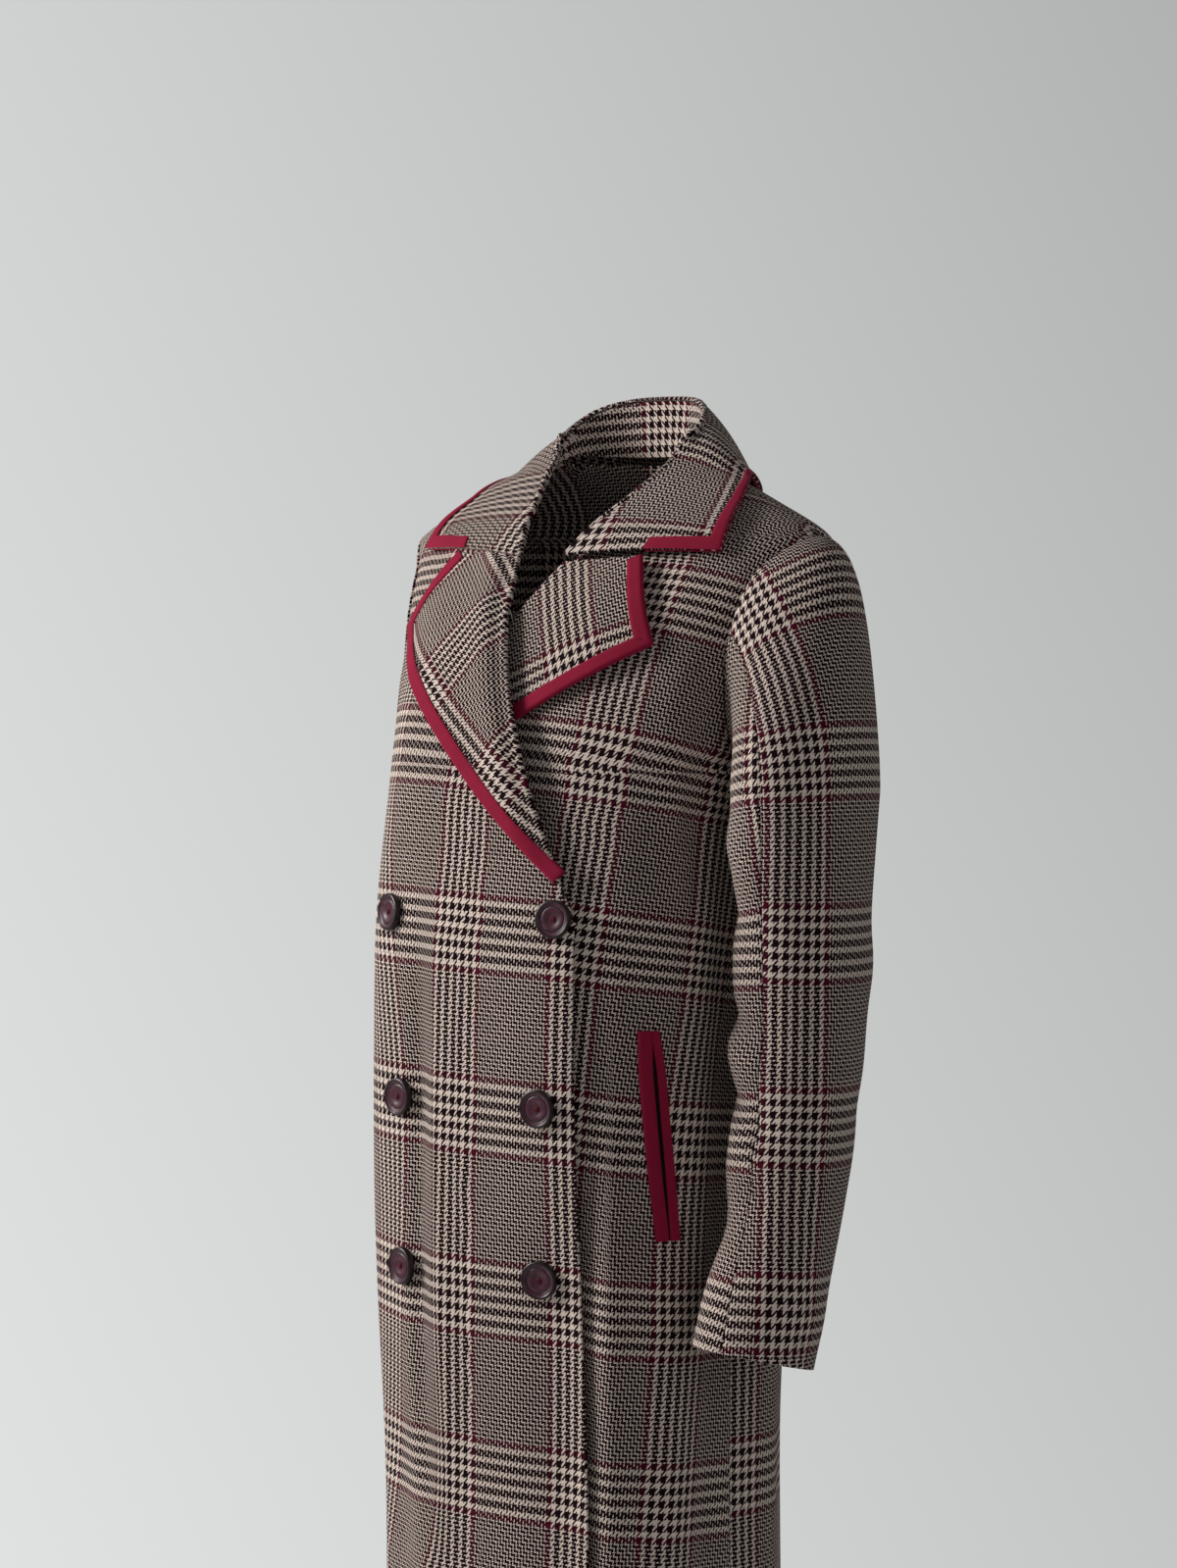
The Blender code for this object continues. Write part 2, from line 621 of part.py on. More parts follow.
def button(name, front, x, z, mat):
    """A turned button with a raised rim, lying on the right front x from the centre."""
    mesh = bpy.data.meshes.new(name)
    build = bmesh.new()
    bmesh.ops.create_cone(build, cap_ends=True, segments=BUTTON_SIDES, radius1=BUTTON_RADIUS * 0.93,
                          radius2=BUTTON_RADIUS, depth=BUTTON_THICKNESS * 0.6)
    top = max(build.faces, key=lambda face: face.calc_center_median().z)
    bmesh.ops.inset_region(build, faces=[top], thickness=BUTTON_RIM * 0.4, depth=BUTTON_THICKNESS * 0.4)
    bmesh.ops.inset_region(build, faces=[top], thickness=BUTTON_RIM * 0.6, depth=0)
    bmesh.ops.inset_region(build, faces=[top], thickness=BUTTON_RIM * 0.4, depth=-BUTTON_DISH)
    build.to_mesh(mesh)
    build.free()
    mesh.materials.append(mat)
    obj = bpy.data.objects.new(name, mesh)
    bpy.context.scene.collection.objects.link(obj)
    place = facet_point(front, x, z)
    _, out = outside(place)
    obj.location = place + out * (CLOTH_WALL / 2 + BUTTON_STANDOFF + BUTTON_THICKNESS * 0.3)
    obj.rotation_mode = "QUATERNION"
    obj.rotation_quaternion = Vector(out).to_track_quat("Z", "Y")
    return obj


def clear_scene():
    """Start from an empty scene."""
    for obj in list(bpy.data.objects):
        bpy.data.objects.remove(obj, do_unlink=True)


def main():
    """Build every piece of the coat."""
    clear_scene()
    wool = material("checked wool", (0.16, 0.12, 0.11), 0.9)
    front = mirrored(front_grid("right"))
    cloth("front_left", front_grid("left"), CLOTH_WALL, wool)
    cloth("front_right", front, CLOTH_WALL, wool)
    cloth("back_left", back_grid(), CLOTH_WALL, wool)
    cloth("back_right", mirrored(back_grid()), CLOTH_WALL, wool)
    turns = {"upper": (BACK_SLEEVE_SEAM, FRONT_SLEEVE_SEAM, UPPER_SLEEVE_COLUMNS),
             "under": (FRONT_SLEEVE_SEAM, BACK_SLEEVE_SEAM + 2 * math.pi, UNDER_SLEEVE_COLUMNS)}
    for part, span in turns.items():
        cloth("sleeve_%s_left" % part, sleeve_grid(LEFT_SLEEVE, *span), CLOTH_WALL, wool)
        cloth("sleeve_%s_right" % part, mirrored(sleeve_grid(RIGHT_SLEEVE, *span)), CLOTH_WALL, wool)
    cloth("lapel_left", lapel_grid("left"), CLOTH_WALL, wool)
    cloth("lapel_right", mirrored(lapel_grid("right")), CLOTH_WALL, wool)
    cloth("collar_fall", collar_grid(), CLOTH_WALL, wool)
    cloth("collar_stand", stand_grid(), CLOTH_WALL, wool)
    crimson = material("crimson felt", (0.30, 0.01, 0.03), 0.85)
    cloth("binding_lapel_left", lapel_binding_grid("left"), BINDING_WALL, crimson)
    cloth("binding_lapel_right", mirrored(lapel_binding_grid("right")), BINDING_WALL, crimson)
    cloth("binding_collar", collar_binding_grid(), BINDING_WALL, crimson)
    for side in (-1, 1):
        name = "forward" if side < 0 else "rear"
        cloth("welt_" + name + "_left", welt_grid(side), BINDING_WALL, crimson)
        cloth("welt_" + name + "_right", mirrored(welt_grid(side)), BINDING_WALL, crimson)
    plum = material("plum button", (0.06, 0.012, 0.02), 0.25)
    for row, (z, x) in enumerate(BUTTON_ROWS, start=1):
        button("button_right_%d" % row, front, -x, z, plum)
        button("button_left_%d" % row, front, x, z, plum)


main()
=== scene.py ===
"""Double-breasted wool coat with notched lapels: its cloth, felt trims, buttons and stage, round the frame."""
import math

import bmesh
import bpy
import numpy as np
from mathutils import Matrix, Vector


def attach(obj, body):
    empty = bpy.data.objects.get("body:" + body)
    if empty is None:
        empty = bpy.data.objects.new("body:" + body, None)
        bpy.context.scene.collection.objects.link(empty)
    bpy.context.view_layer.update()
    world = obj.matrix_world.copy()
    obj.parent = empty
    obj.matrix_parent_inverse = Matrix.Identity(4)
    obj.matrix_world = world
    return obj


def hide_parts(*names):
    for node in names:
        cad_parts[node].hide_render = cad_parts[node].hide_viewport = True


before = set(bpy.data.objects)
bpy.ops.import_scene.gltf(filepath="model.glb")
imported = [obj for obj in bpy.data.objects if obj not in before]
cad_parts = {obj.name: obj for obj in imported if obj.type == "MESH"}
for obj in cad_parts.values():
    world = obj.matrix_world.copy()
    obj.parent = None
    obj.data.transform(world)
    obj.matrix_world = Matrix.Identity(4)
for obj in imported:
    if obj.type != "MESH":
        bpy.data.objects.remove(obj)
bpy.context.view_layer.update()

bl_info = {
    "name": "Double-breasted coat",
    "version": (1, 0, 0),
    "blender": (4, 5, 0),
    "location": "3D View > Sidebar > Coat",
    "description": "Builds a checked wool coat with felt trims, in the shape it has when worn",
    "category": "Add Mesh",
}

# ---------------------------------------------------------------- the worn form, as in the solids

HEM_Z = -1.060
UNDERARM_Z = -0.230
SHOULDER_TIP_Z = -0.058
NECK_Z = -0.003

# Level sections of the body: z, half width, front and back depth from y = 0, the y of the side or
# shoulder seam, and how square the front half and the back half are
SECTIONS = np.array((
    (-1.080, 0.145, 0.119, 0.126, 0.000, 2.90, 2.50),
    (-0.900, 0.139, 0.116, 0.124, 0.000, 2.95, 2.50),
    (-0.745, 0.137, 0.116, 0.122, 0.000, 3.00, 2.50),
    (-0.600, 0.142, 0.122, 0.119, 0.000, 3.10, 2.50),
    (-0.440, 0.145, 0.126, 0.112, 0.002, 3.20, 2.40),
    (-0.340, 0.146, 0.126, 0.108, 0.004, 3.10, 2.40),
    (-0.240, 0.148, 0.114, 0.113, 0.010, 2.80, 2.40),
    (-0.205, 0.155, 0.107, 0.115, 0.014, 2.60, 2.40),
    (-0.171, 0.165, 0.098, 0.115, 0.020, 2.40, 2.35),
    (-0.140, 0.174, 0.085, 0.114, 0.025, 2.20, 2.25),
    (-0.113, 0.184, 0.071, 0.111, 0.028, 2.05, 2.15),
    (-0.086, 0.193, 0.053, 0.107, 0.031, 1.88, 2.05),
    (-0.058, 0.192, 0.031, 0.101, 0.034, 1.80, 2.00),
    (-0.030, 0.136, -0.001, 0.094, 0.038, 1.80, 2.00),
    (-0.003, 0.074, -0.026, 0.088, 0.043, 1.90, 2.00),
    (0.012, 0.060, -0.034, 0.084, 0.045, 2.00, 2.00),
))

# The worn coat hangs a little lower on the wearer's left shoulder
SHOULDER_LEAN = 0.034
LEAN_FROM_Z = -0.340
LEAN_SPAN = 0.250
SIGN = {"left": 1, "right": -1}

ARMHOLE_HALF_DEPTH = 0.054
ARMHOLE_Y_TOP = 0.034
ARMHOLE_Y_BOTTOM = 0.014

# How the right front passes over the left one, and over the left lapel between two heights
FRONT_EDGE_X = 0.092
OVERLAP_BLEND = 0.040
OUTER_FRONT_LIFT = 0.0040
INNER_FRONT_DROP = 0.0038
OVER_LAPEL_LIFT = 0.0053
OVER_LAPEL_REACH = 0.110
OVER_LAPEL_BLEND = 0.040
OVER_LAPEL_LOW = -0.300
OVER_LAPEL_RISE = 0.060
OVER_LAPEL_HIGH = -0.095
OVER_LAPEL_FALL = 0.035

# Places on the front, x and z, and how far the lapels stand off it
ROLL_TOP = (0.060, -0.008)
ROLL_GORGE = (0.022, -0.080)
NECK_CORNER = (0.071, -0.003)
BREAK_BLEND = 0.025
BREAK = {"left": (-0.070, -0.240), "right": (-0.081, -0.309)}
LAPEL_TIP = {"left": (0.115, -0.138), "right": (0.124, -0.130)}
NOTCH = (0.085, -0.077)
NOTCH_SHARE = 0.5
LAPEL_LIFT = 0.0050
TUCKED_LIFT = 0.0013
TUCKED_TO_X = 0.015
TUCKED_BLEND = 0.085
ROLL_LIFT = 0.0030
ROLL_WIDTH = 0.018
ROLL_FADE = 0.100
LAPEL_BOW = {"left": 0.003, "right": 0.000}

# Half of the collar, from the centre back to its end: its neck seam, roll edge and outer edge, x, y, z
COLLAR_ROWS = np.array((
    (0.000, 0.0875, 0.002, 0.000, 0.0900, 0.046, 0.000, 0.1170, -0.034),
    (0.030, 0.0820, 0.002, 0.034, 0.0850, 0.044, 0.051, 0.1100, -0.033),
    (0.056, 0.0640, 0.002, 0.055, 0.0660, 0.035, 0.092, 0.0860, -0.024),
    (0.068, 0.0430, -0.002, 0.0615, 0.0430, 0.016, 0.113, 0.0500, -0.012),
    (0.066, 0.0250, -0.014, 0.059, 0.0220, -0.009, 0.126, 0.0290, -0.031),
    (0.052, -0.0020, -0.038, 0.045, -0.0060, -0.038, 0.134, 0.0080, -0.054),
    (0.030, -0.0420, -0.070, 0.022, -0.0440, -0.0790, 0.140, -0.0120, -0.0735),
))
COLLAR_BULGE = 0.008
COLLAR_CLEARANCE = 0.0056
ROLL_RADIUS = 0.0020
NOTCH_ACROSS = 0.53
NECK_AXIS_Y = 0.040
# How far round the neck the stand goes, as a share of the collar, and how far inside the neckline
STAND_REACH = 0.80
STAND_INSET = 0.0022

# Ends of the pocket's slit: how far round the coat from the centre front, and z
WELT_TOP = (0.147, -0.410)
WELT_BOTTOM = (0.158, -0.557)
WELT_ROWS = 40
WELT_COLUMNS = 9
SLIT_HALF_WIDTH = 0.0016
MOUTH_HALF_WIDTH = 0.005

# Rings of each sleeve from the cuff to the underarm: z, middle x and y, half width, half depth
SLEEVES = {
    "left": np.array((
        (-0.636, 0.1920, -0.043, 0.0390, 0.0440),
        (-0.580, 0.1960, -0.031, 0.0385, 0.0450),
        (-0.515, 0.1990, -0.017, 0.0390, 0.0480),
        (-0.440, 0.2020, -0.007, 0.0405, 0.0510),
        (-0.330, 0.2040, -0.004, 0.0425, 0.0545),
        (-0.240, 0.2050, -0.001, 0.0450, 0.0600),
    )),
    "right": np.array((
        (-0.640, 0.1820, 0.111, 0.0390, 0.0450),
        (-0.580, 0.1830, 0.110, 0.0385, 0.0460),
        (-0.515, 0.1840, 0.107, 0.0380, 0.0480),
        (-0.440, 0.1850, 0.102, 0.0385, 0.0490),
        (-0.330, 0.1860, 0.092, 0.0390, 0.0510),
        (-0.240, 0.1900, 0.078, 0.0400, 0.0540),
    )),
}
FRONT_SLEEVE_SEAM = math.radians(80)
BACK_SLEEVE_SEAM = math.radians(-105)
SLEEVE_HEAD_OUT = 0.135
SLEEVE_RADIUS = 0.042

# Steps of a button's face from its rim inwards: how far in, and how far up or down
BUTTON_STEPS = ((0.0009, 0.0005), (0.0007, 0.0), (0.0009, -0.0010), (0.0014, -0.0001), (0.0005, -0.0005),
                (0.0005, 0.0005), (0.0024, 0.0001), (0.0016, -0.0007), (0.0016, -0.0002))
RIM_WIDTH = 0.0018
RING_INSET = 0.0044
BUTTON_BACK_INSET = 0.30
BUTTON_BACK_DEPTH = 0.0006
# How far round a button's middle the slope of the cloth is taken, and the gap to the cloth
BUTTON_REACH = 0.0115
BUTTON_GAP = 0.0004
# Height of each row of buttons, and how far from the centre they are sewn
BUTTON_PLACES = ((-0.333, 0.0785), (-0.465, 0.0665), (-0.586, 0.0615))
STRAND_PLACES = (-0.0009, -0.0003, 0.0003, 0.0009)
STRAND_RADIUS = 0.00036
STRAND_LENGTH = 0.0046
STRAND_SAG = 0.0011

# ---------------------------------------------------------------- density and drape

BODY_ROWS = 150
ARMHOLE_ROWS = 36
SHOULDER_ROWS = 12
FRONT_COLUMNS = 64
BACK_COLUMNS = 40
SLEEVE_ROWS = 80
SLEEVE_HEAD_ROWS = 36
UPPER_SLEEVE_COLUMNS = 36
UNDER_SLEEVE_COLUMNS = 30
LAPEL_ROWS = 90
LAPEL_COLUMNS = 36
CURL_COLUMNS = 6
BINDING_STEPS = 6
SEAM_GAP = 0.0004
SEAM_PULL = 0.0007
SEAM_REACH = 0.0045
SEAM_ALLOWANCE = 0.0025

# Soft folds of the body: angle, low z, high z, width, depth, lean. The angle goes round the coat in
# degrees, 0 at the centre front and positive to the wearer's left; the fold leans by that many
# degrees from its foot to its head, and fades over a share of its height at each end.
FOLD_FADE = 0.35
FOLDS = (
    (-9.5, -0.800, -0.290, 3.0, -0.0045, 1),
    (-3.5, -0.800, -0.290, 3.5, 0.0026, 1),
    (-11.0, -1.040, -0.430, 10.0, 0.0070, 2),
    (22.0, -1.040, -0.430, 14.0, -0.0090, 2),
    (42.0, -1.040, -0.430, 8.0, 0.0066, 3),
    (88.0, -0.760, -0.200, 5.0, -0.0060, 0),
    (-58, -0.860, -0.310, 7, -0.0041, -7),
    (-46, -0.980, -0.360, 8, 0.0032, -5),
    (-74, -1.200, -0.420, 9, 0.0041, -6),
    (-24, -1.200, -0.640, 10, -0.0030, 4),
    (52, -0.700, -0.330, 6, -0.0027, 5),
    (66, -1.200, -0.560, 9, 0.0038, 6),
    (84, -1.200, -0.480, 8, -0.0035, 4),
    (104, -1.200, -0.500, 9, 0.0041, -4),
    (126, -1.200, -0.610, 10, -0.0041, -5),
    (146, -1.200, -0.560, 9, 0.0041, -3),
    (166, -1.200, -0.660, 9, -0.0035, 2),
    (-172, -1.200, -0.600, 10, 0.0035, -3),
    (-150, -1.200, -0.680, 9, -0.0038, 4),
    (-128, -1.200, -0.540, 10, 0.0043, 5),
    (-104, -1.200, -0.500, 9, -0.0038, 6),
    (70, -0.330, -0.130, 6, -0.0041, -16),
    (58, -0.300, -0.120, 6, 0.0030, -18),
    (-70, -0.330, -0.130, 7, -0.0038, 16),
    (112, -0.340, -0.130, 7, -0.0043, 18),
    (128, -0.320, -0.110, 8, 0.0030, 20),
    (-112, -0.340, -0.130, 7, -0.0043, -18),
    (-130, -0.300, -0.110, 8, 0.0032, -20),
)

# Soft folds of the sleeves: turn in degrees (0 outside, 90 front), share up the arm below the
# underarm, the spreads of both, depth, and how far the fold climbs over a half turn. They lie a
# little higher on the right sleeve.
RIGHT_FOLD_SHIFT = 0.045
SLEEVE_FOLDS = (
    (120, 0.44, 55, 0.030, -0.0045, 0.16),
    (110, 0.52, 50, 0.034, 0.0039, 0.14),
    (135, 0.60, 50, 0.030, -0.0045, 0.12),
    (95, 0.36, 45, 0.030, 0.0020, 0.14),
    (135, 0.40, 40, 0.060, -0.0036, 0.0),
    (130, 0.22, 45, 0.080, -0.0085, 0.0),
    (20, 0.40, 28, 0.42, 0.0034, 0.0),
    (78, 0.42, 26, 0.42, -0.0034, 0.0),
    (60, 0.27, 45, 0.026, -0.0030, 0.10),
    (150, 0.80, 50, 0.045, -0.0051, 0.20),
    (120, 0.90, 45, 0.045, 0.0042, 0.24),
    (-60, 0.70, 60, 0.060, 0.0033, -0.20),
    (-95, 0.50, 55, 0.040, -0.0036, -0.18),
    (-120, 0.42, 50, 0.040, 0.0036, -0.16),
    (-150, 0.86, 50, 0.050, -0.0045, -0.22),
    (20, 0.10, 60, 0.050, 0.0027, 0.06),
)

# How the check lies on each piece: turn of the grain in degrees, and its shift in yarns, across and up
GRAIN = {
    "front_right": (3, 108, 114), "front_left": (5, 2, 113),
    "back_right": (0, 39, 115), "back_left": (0, 39, 115),
    "sleeve_upper_left": (-6.5, 78, 160), "sleeve_under_left": (2, 61, 3),
    "sleeve_upper_right": (6.5, 20, 160), "sleeve_under_right": (-2, 61, 3),
    "lapel_left": (0, -38, 47), "lapel_right": (0, 50, 60),
    "collar_fall": (0, 37, 50), "collar_stand": (0, 39, 20),
}

# The check in yarns: its wide band, its fine check, how far a dark group spreads over the yarns beside
# it, and how much of a wide band shows along the collar's short edges
BAND = 78
FINE = 98
SPREAD = 0.40
COLLAR_BAND = 37

# Cloth taken in along each front, by a dart on the left and a pinched fold on the right: its place
# and width as shares of the panel from the front edge, low z, high z, and how much is taken in
PINCHES = {"left": (0.648, 0.006, -0.620, -0.400, 0.006), "right": (0.405, 0.070, -0.800, -0.290, 0.036)}

WALL = 0.002
FOLDED = WALL + 0.0008
MOUTH_WALL = 0.0004

# The camera's picture in pixels: half its height, the row of the camera's level, and the focal length
PICTURE_HALF = 799.5
PICTURE_LEVEL = 735
FOCAL = 4031
FLOOR_RADIUS = 2.6

# The room's level of light as seen by the camera: its middle, how it turns and rises, and its limits
ROOM_MIDDLE = 0.60
ROOM_TURN = -0.66
ROOM_RISE = -0.31
ROOM_LEAST = 0.42
ROOM_MOST = 0.78
LIGHT_AIM = (0.02, -0.02, -0.45)
# Soft lights: name, place, size and colour. Their power is in the settings.
LIGHTS = (
    ("key", (-2.35, -2.05, 0.95), 1.1, (1.0, 0.985, 0.96)),
    ("fill", (3.1, -1.2, 0.5), 2.0, (0.97, 0.98, 1.0)),
    ("back", (-0.8, 3.2, 0.9), 2.0, (0.98, 0.99, 1.0)),
)


# ---------------------------------------------------------------- settings

def a_number(name, description, default, **more):
    """A number in the settings."""
    return bpy.props.FloatProperty(name=name, description=description, default=default, **more)


def a_length(name, description, default, low, high):
    """A length in the settings."""
    return a_number(name, description, default, min=low, max=high, precision=6, unit="LENGTH")


def a_color(name, description, default):
    """A colour in the settings."""
    return bpy.props.FloatVectorProperty(name=name, description=description, default=default, subtype="COLOR")


class CoatClothSettings(bpy.types.PropertyGroup):
    """The checked wool."""
    warp: a_length("Warp pitch", "Distance from one upright yarn to the next", 0.00060, 0.0002, 0.003)
    weft: a_length("Weft pitch", "Distance from one level yarn to the next", 0.000727, 0.0002, 0.003)
    cream: a_color("Light yarn", "Colour of the light yarns", (0.86, 0.715, 0.635))
    black: a_color("Dark yarn", "Colour of the dark yarns", (0.012, 0.0018, 0.0048))
    burgundy: a_color("Line yarn", "Colour of the lines that edge each wide band", (0.085, 0.003, 0.016))


class CoatTrimSettings(bpy.types.PropertyGroup):
    """The crimson felt."""
    felt: a_color("Felt", "Colour of the bindings and welts", (0.300, 0.006, 0.038))
    binding_width: a_length("Binding width", "How much of the binding shows on top", 0.0086, 0.004, 0.02)
    binding_wall: a_length("Felt thickness", "Thickness of the felt", 0.0013, 0.0006, 0.003)
    welt_width: a_length("Welt width", "Width of one pocket welt", 0.0092, 0.004, 0.02)


class CoatButtonSettings(bpy.types.PropertyGroup):
    """The turned buttons."""
    radius: a_length("Radius", "Radius of a button", 0.0135, 0.008, 0.02)
    thickness: a_length("Thickness", "Thickness at the rim", 0.0040, 0.002, 0.008)
    plum: a_color("Button", "Colour of the buttons", (0.066, 0.016, 0.031))
    thread: a_color("Thread", "Colour of the sewing thread", (0.16, 0.006, 0.016))


class CoatStageSettings(bpy.types.PropertyGroup):
    """Camera, light and floor."""
    azimuth: a_number("Camera turn", "How far the camera stands round to the wearer's left", math.radians(42),
                      subtype="ANGLE")
    distance: a_number("Camera distance", "Distance from the coat's upright axis", 2.9, unit="LENGTH")
    camera_z: a_number("Camera height", "Height of the camera from the neck point", -0.1942, unit="LENGTH")
    field: a_number("Field of view", "Upright field of view", 2 * math.atan(PICTURE_HALF / FOCAL),
                    subtype="ANGLE")
    drop: a_number("Camera shift", "How far the frame reaches below the camera's level",
                   (PICTURE_LEVEL - PICTURE_HALF) / (2 * PICTURE_HALF))
    floor_z: a_number("Floor height", "Height of the floor from the neck point", -1.46, unit="LENGTH")
    key: a_number("Key light", "Power of the soft key light", 112)
    fill: a_number("Fill light", "Power of the soft fill light", 10)
    back: a_number("Back light", "Power of the soft light behind the coat", 14)
    ambient: a_number("Room light", "Strength of the light all round", 0.21)
    backdrop: a_color("Backdrop", "Colour of the room", (0.66, 0.675, 0.665))


# ---------------------------------------------------------------- curves of the form

def smooth(at, knots, values):
    """Values at the given places on a smooth curve through a table's knots."""
    knots, values, at = np.asarray(knots, float), np.asarray(values, float), np.asarray(at, float)
    slopes = np.gradient(values, knots, axis=0)
    index = np.clip(np.searchsorted(knots, at, side="right") - 1, 0, len(knots) - 2)
    span = knots[index + 1] - knots[index]
    t = (at - knots[index]) / span
    extra = (1,) * (values.ndim - 1)
    t, span = t.reshape(t.shape + extra), span.reshape(span.shape + extra)
    start = values[index] * (1 + 2 * t) * (1 - t) ** 2 + slopes[index] * span * t * (1 - t) ** 2
    end = values[index + 1] * t * t * (3 - 2 * t) + slopes[index + 1] * span * t * t * (t - 1)
    return start + end


def eased(share):
    """A share from 0 to 1, eased in and out."""
    share = np.clip(share, 0, 1)
    return share * share * (3 - 2 * share)


def unit(vectors):
    """Vectors at length 1."""
    return vectors / np.linalg.norm(vectors, axis=-1, keepdims=True)


def section(z):
    """Half width, front depth, back depth, side y and both powers of the coat at height z."""
    return np.moveaxis(smooth(z, SECTIONS[:, 0], SECTIONS[:, 1:]), -1, 0)


def torso_point(angle, z):
    """Point of the coat's form: angle 0 is the centre front, pi / 2 the side, pi the centre back."""
    width, front, back, side_y, front_power, back_power = section(z)
    sine, cosine = np.sin(angle), np.cos(angle)
    power = np.where(cosine > 0, front_power, back_power)
    depth = np.where(cosine > 0, front + side_y, back - side_y)
    x = width * np.sign(sine) * np.abs(sine) ** (2 / power)
    y = side_y - depth * np.sign(cosine) * np.abs(cosine) ** (2 / power)
    return np.stack(np.broadcast_arrays(x, y, z), axis=-1)


def angle_at_x(x, z):
    """Angle of the front point that lies x from the centre."""
    width, _, _, _, power, _ = section(z)
    return np.sign(x) * np.arcsin(np.clip(np.abs(x) / width, 0, 1) ** (power / 2))


def half_at(y, z):
    """Half width at z, how far y is ahead of the side seam, and depth and squareness of that half."""
    width, front, back, side_y, front_power, back_power = section(z)
    ahead = side_y - y
    depth = np.where(ahead > 0, front + side_y, back - side_y)
    return width, ahead, depth, np.where(ahead > 0, front_power, back_power)


def angle_at_y(y, z):
    """Angle of the point on the left half at depth y."""
    _, ahead, depth, power = half_at(y, z)
    return np.arccos(np.sign(ahead) * np.clip(np.abs(ahead) / depth, 0, 1) ** (power / 2))


def outside(points):
    """Distance of points outside the coat's form, and the direction straight out of it."""
    def level(p):
        width, ahead, depth, power = half_at(p[..., 1], np.clip(p[..., 2], HEM_Z, SECTIONS[-1, 0]))
        return (np.abs(p[..., 0] / width) ** power + np.abs(ahead / depth) ** power) ** (1 / power) - 1
    step = 1e-4
    slope = np.stack([(level(points + step * axis) - level(points - step * axis)) / (2 * step)
                      for axis in np.eye(3)], axis=-1)
    return level(points) / np.linalg.norm(slope, axis=-1), unit(slope)


def keep_clear(points, least):
    """Points moved out of the coat's form until they are at least that far from it."""
    for _ in range(4):
        distance, out = outside(points)
        points = points + out * np.clip(least - distance, 0, None)[..., None]
    return points


def relief(angle, z):
    """How far the cloth's soft folds stand out of the form, or into it, at an angle and height."""
    total = np.zeros(np.broadcast(angle, z).shape)
    for middle, low, high, width, depth, lean in FOLDS:
        along = (z - low) / (high - low)
        away = (np.degrees(angle) - middle - lean * (along - 0.5) + 180) % 360 - 180
        total = total + depth * np.exp(-(away / width) ** 2) * eased(along / FOLD_FADE) * eased(
            (1 - along) / FOLD_FADE)
    return total


def form_point(angle, z, lift, side):
    """Point of the draped cloth on one side, standing that far off the form."""
    place = torso_point(angle, z)
    _, out = outside(place)
    return place + out * (lift + relief(SIGN[side] * angle, z))[..., None]


def leaning(points):
    """Points of the symmetrical form dropped a little on the wearer's left and raised on the right."""
    share = eased((points[..., 2] - LEAN_FROM_Z) / LEAN_SPAN)
    return points - np.stack([0 * share, 0 * share, SHOULDER_LEAN * points[..., 0] * share], axis=-1)


def handed(grid, side):
    """A grid made on the wearer's left, or the same on the right, still facing out."""
    return grid if side == "left" else (grid * (-1, 1, 1))[:, ::-1]


# ---------------------------------------------------------------- body panels

def armhole_point(turn):
    """Armhole at an angle round it: 0 at the shoulder tip, pi / 2 at the front, pi underneath."""
    z = (SHOULDER_TIP_Z + UNDERARM_Z) / 2 + (SHOULDER_TIP_Z - UNDERARM_Z) / 2 * np.cos(turn)
    middle_y = ARMHOLE_Y_BOTTOM + (ARMHOLE_Y_TOP - ARMHOLE_Y_BOTTOM) * (1 + np.cos(turn)) / 2
    return torso_point(angle_at_y(middle_y - ARMHOLE_HALF_DEPTH * np.sin(turn), z), z)


def side_angle(z, front):
    """Angle where a panel ends at height z: side seam, armhole or shoulder seam."""
    if z <= UNDERARM_Z or z >= SHOULDER_TIP_Z:
        return math.pi / 2
    share = (z - (SHOULDER_TIP_Z + UNDERARM_Z) / 2) / ((SHOULDER_TIP_Z - UNDERARM_Z) / 2)
    turn = math.acos(min(max(share, -1), 1))
    return float(angle_at_y(armhole_point(np.array(turn if front else -turn))[1], z))


def panel_heights():
    """Heights of the rows that every body panel shares."""
    armhole = armhole_point(np.linspace(math.pi, 0, ARMHOLE_ROWS + 1))[:, 2]
    body = np.linspace(HEM_Z, UNDERARM_Z, BODY_ROWS + 1)[:-1]
    shoulder = np.linspace(SHOULDER_TIP_Z, NECK_Z, SHOULDER_ROWS + 1)[1:]
    return np.concatenate([body, armhole, shoulder])


def inner_x(z, side):
    """How far from the centre a front begins: its edge, its roll line, then the neckline."""
    break_x, break_z = BREAK[side]
    heights = (break_z - BREAK_BLEND, break_z, ROLL_GORGE[1], NECK_CORNER[1])
    return float(np.interp(z, heights, (-FRONT_EDGE_X, break_x, ROLL_GORGE[0], NECK_CORNER[0])))


def measured(z, start, end, count):
    """Angles along one height of the form, and the length round it to each from the first."""
    angles = np.linspace(start, end, count)
    line = torso_point(angles, np.full_like(angles, z))
    return angles, np.concatenate([[0], np.cumsum(np.linalg.norm(np.diff(line, axis=0), axis=1))])


def panel_row(z, start, end, columns):
    """Angles of evenly spaced points at one height, and their distances from the row's start."""
    angles, length = measured(z, start, end, 240)
    wanted = np.linspace(SEAM_GAP / 2, length[-1] - SEAM_GAP / 2, columns + 1)
    return np.interp(wanted, length, angles), wanted


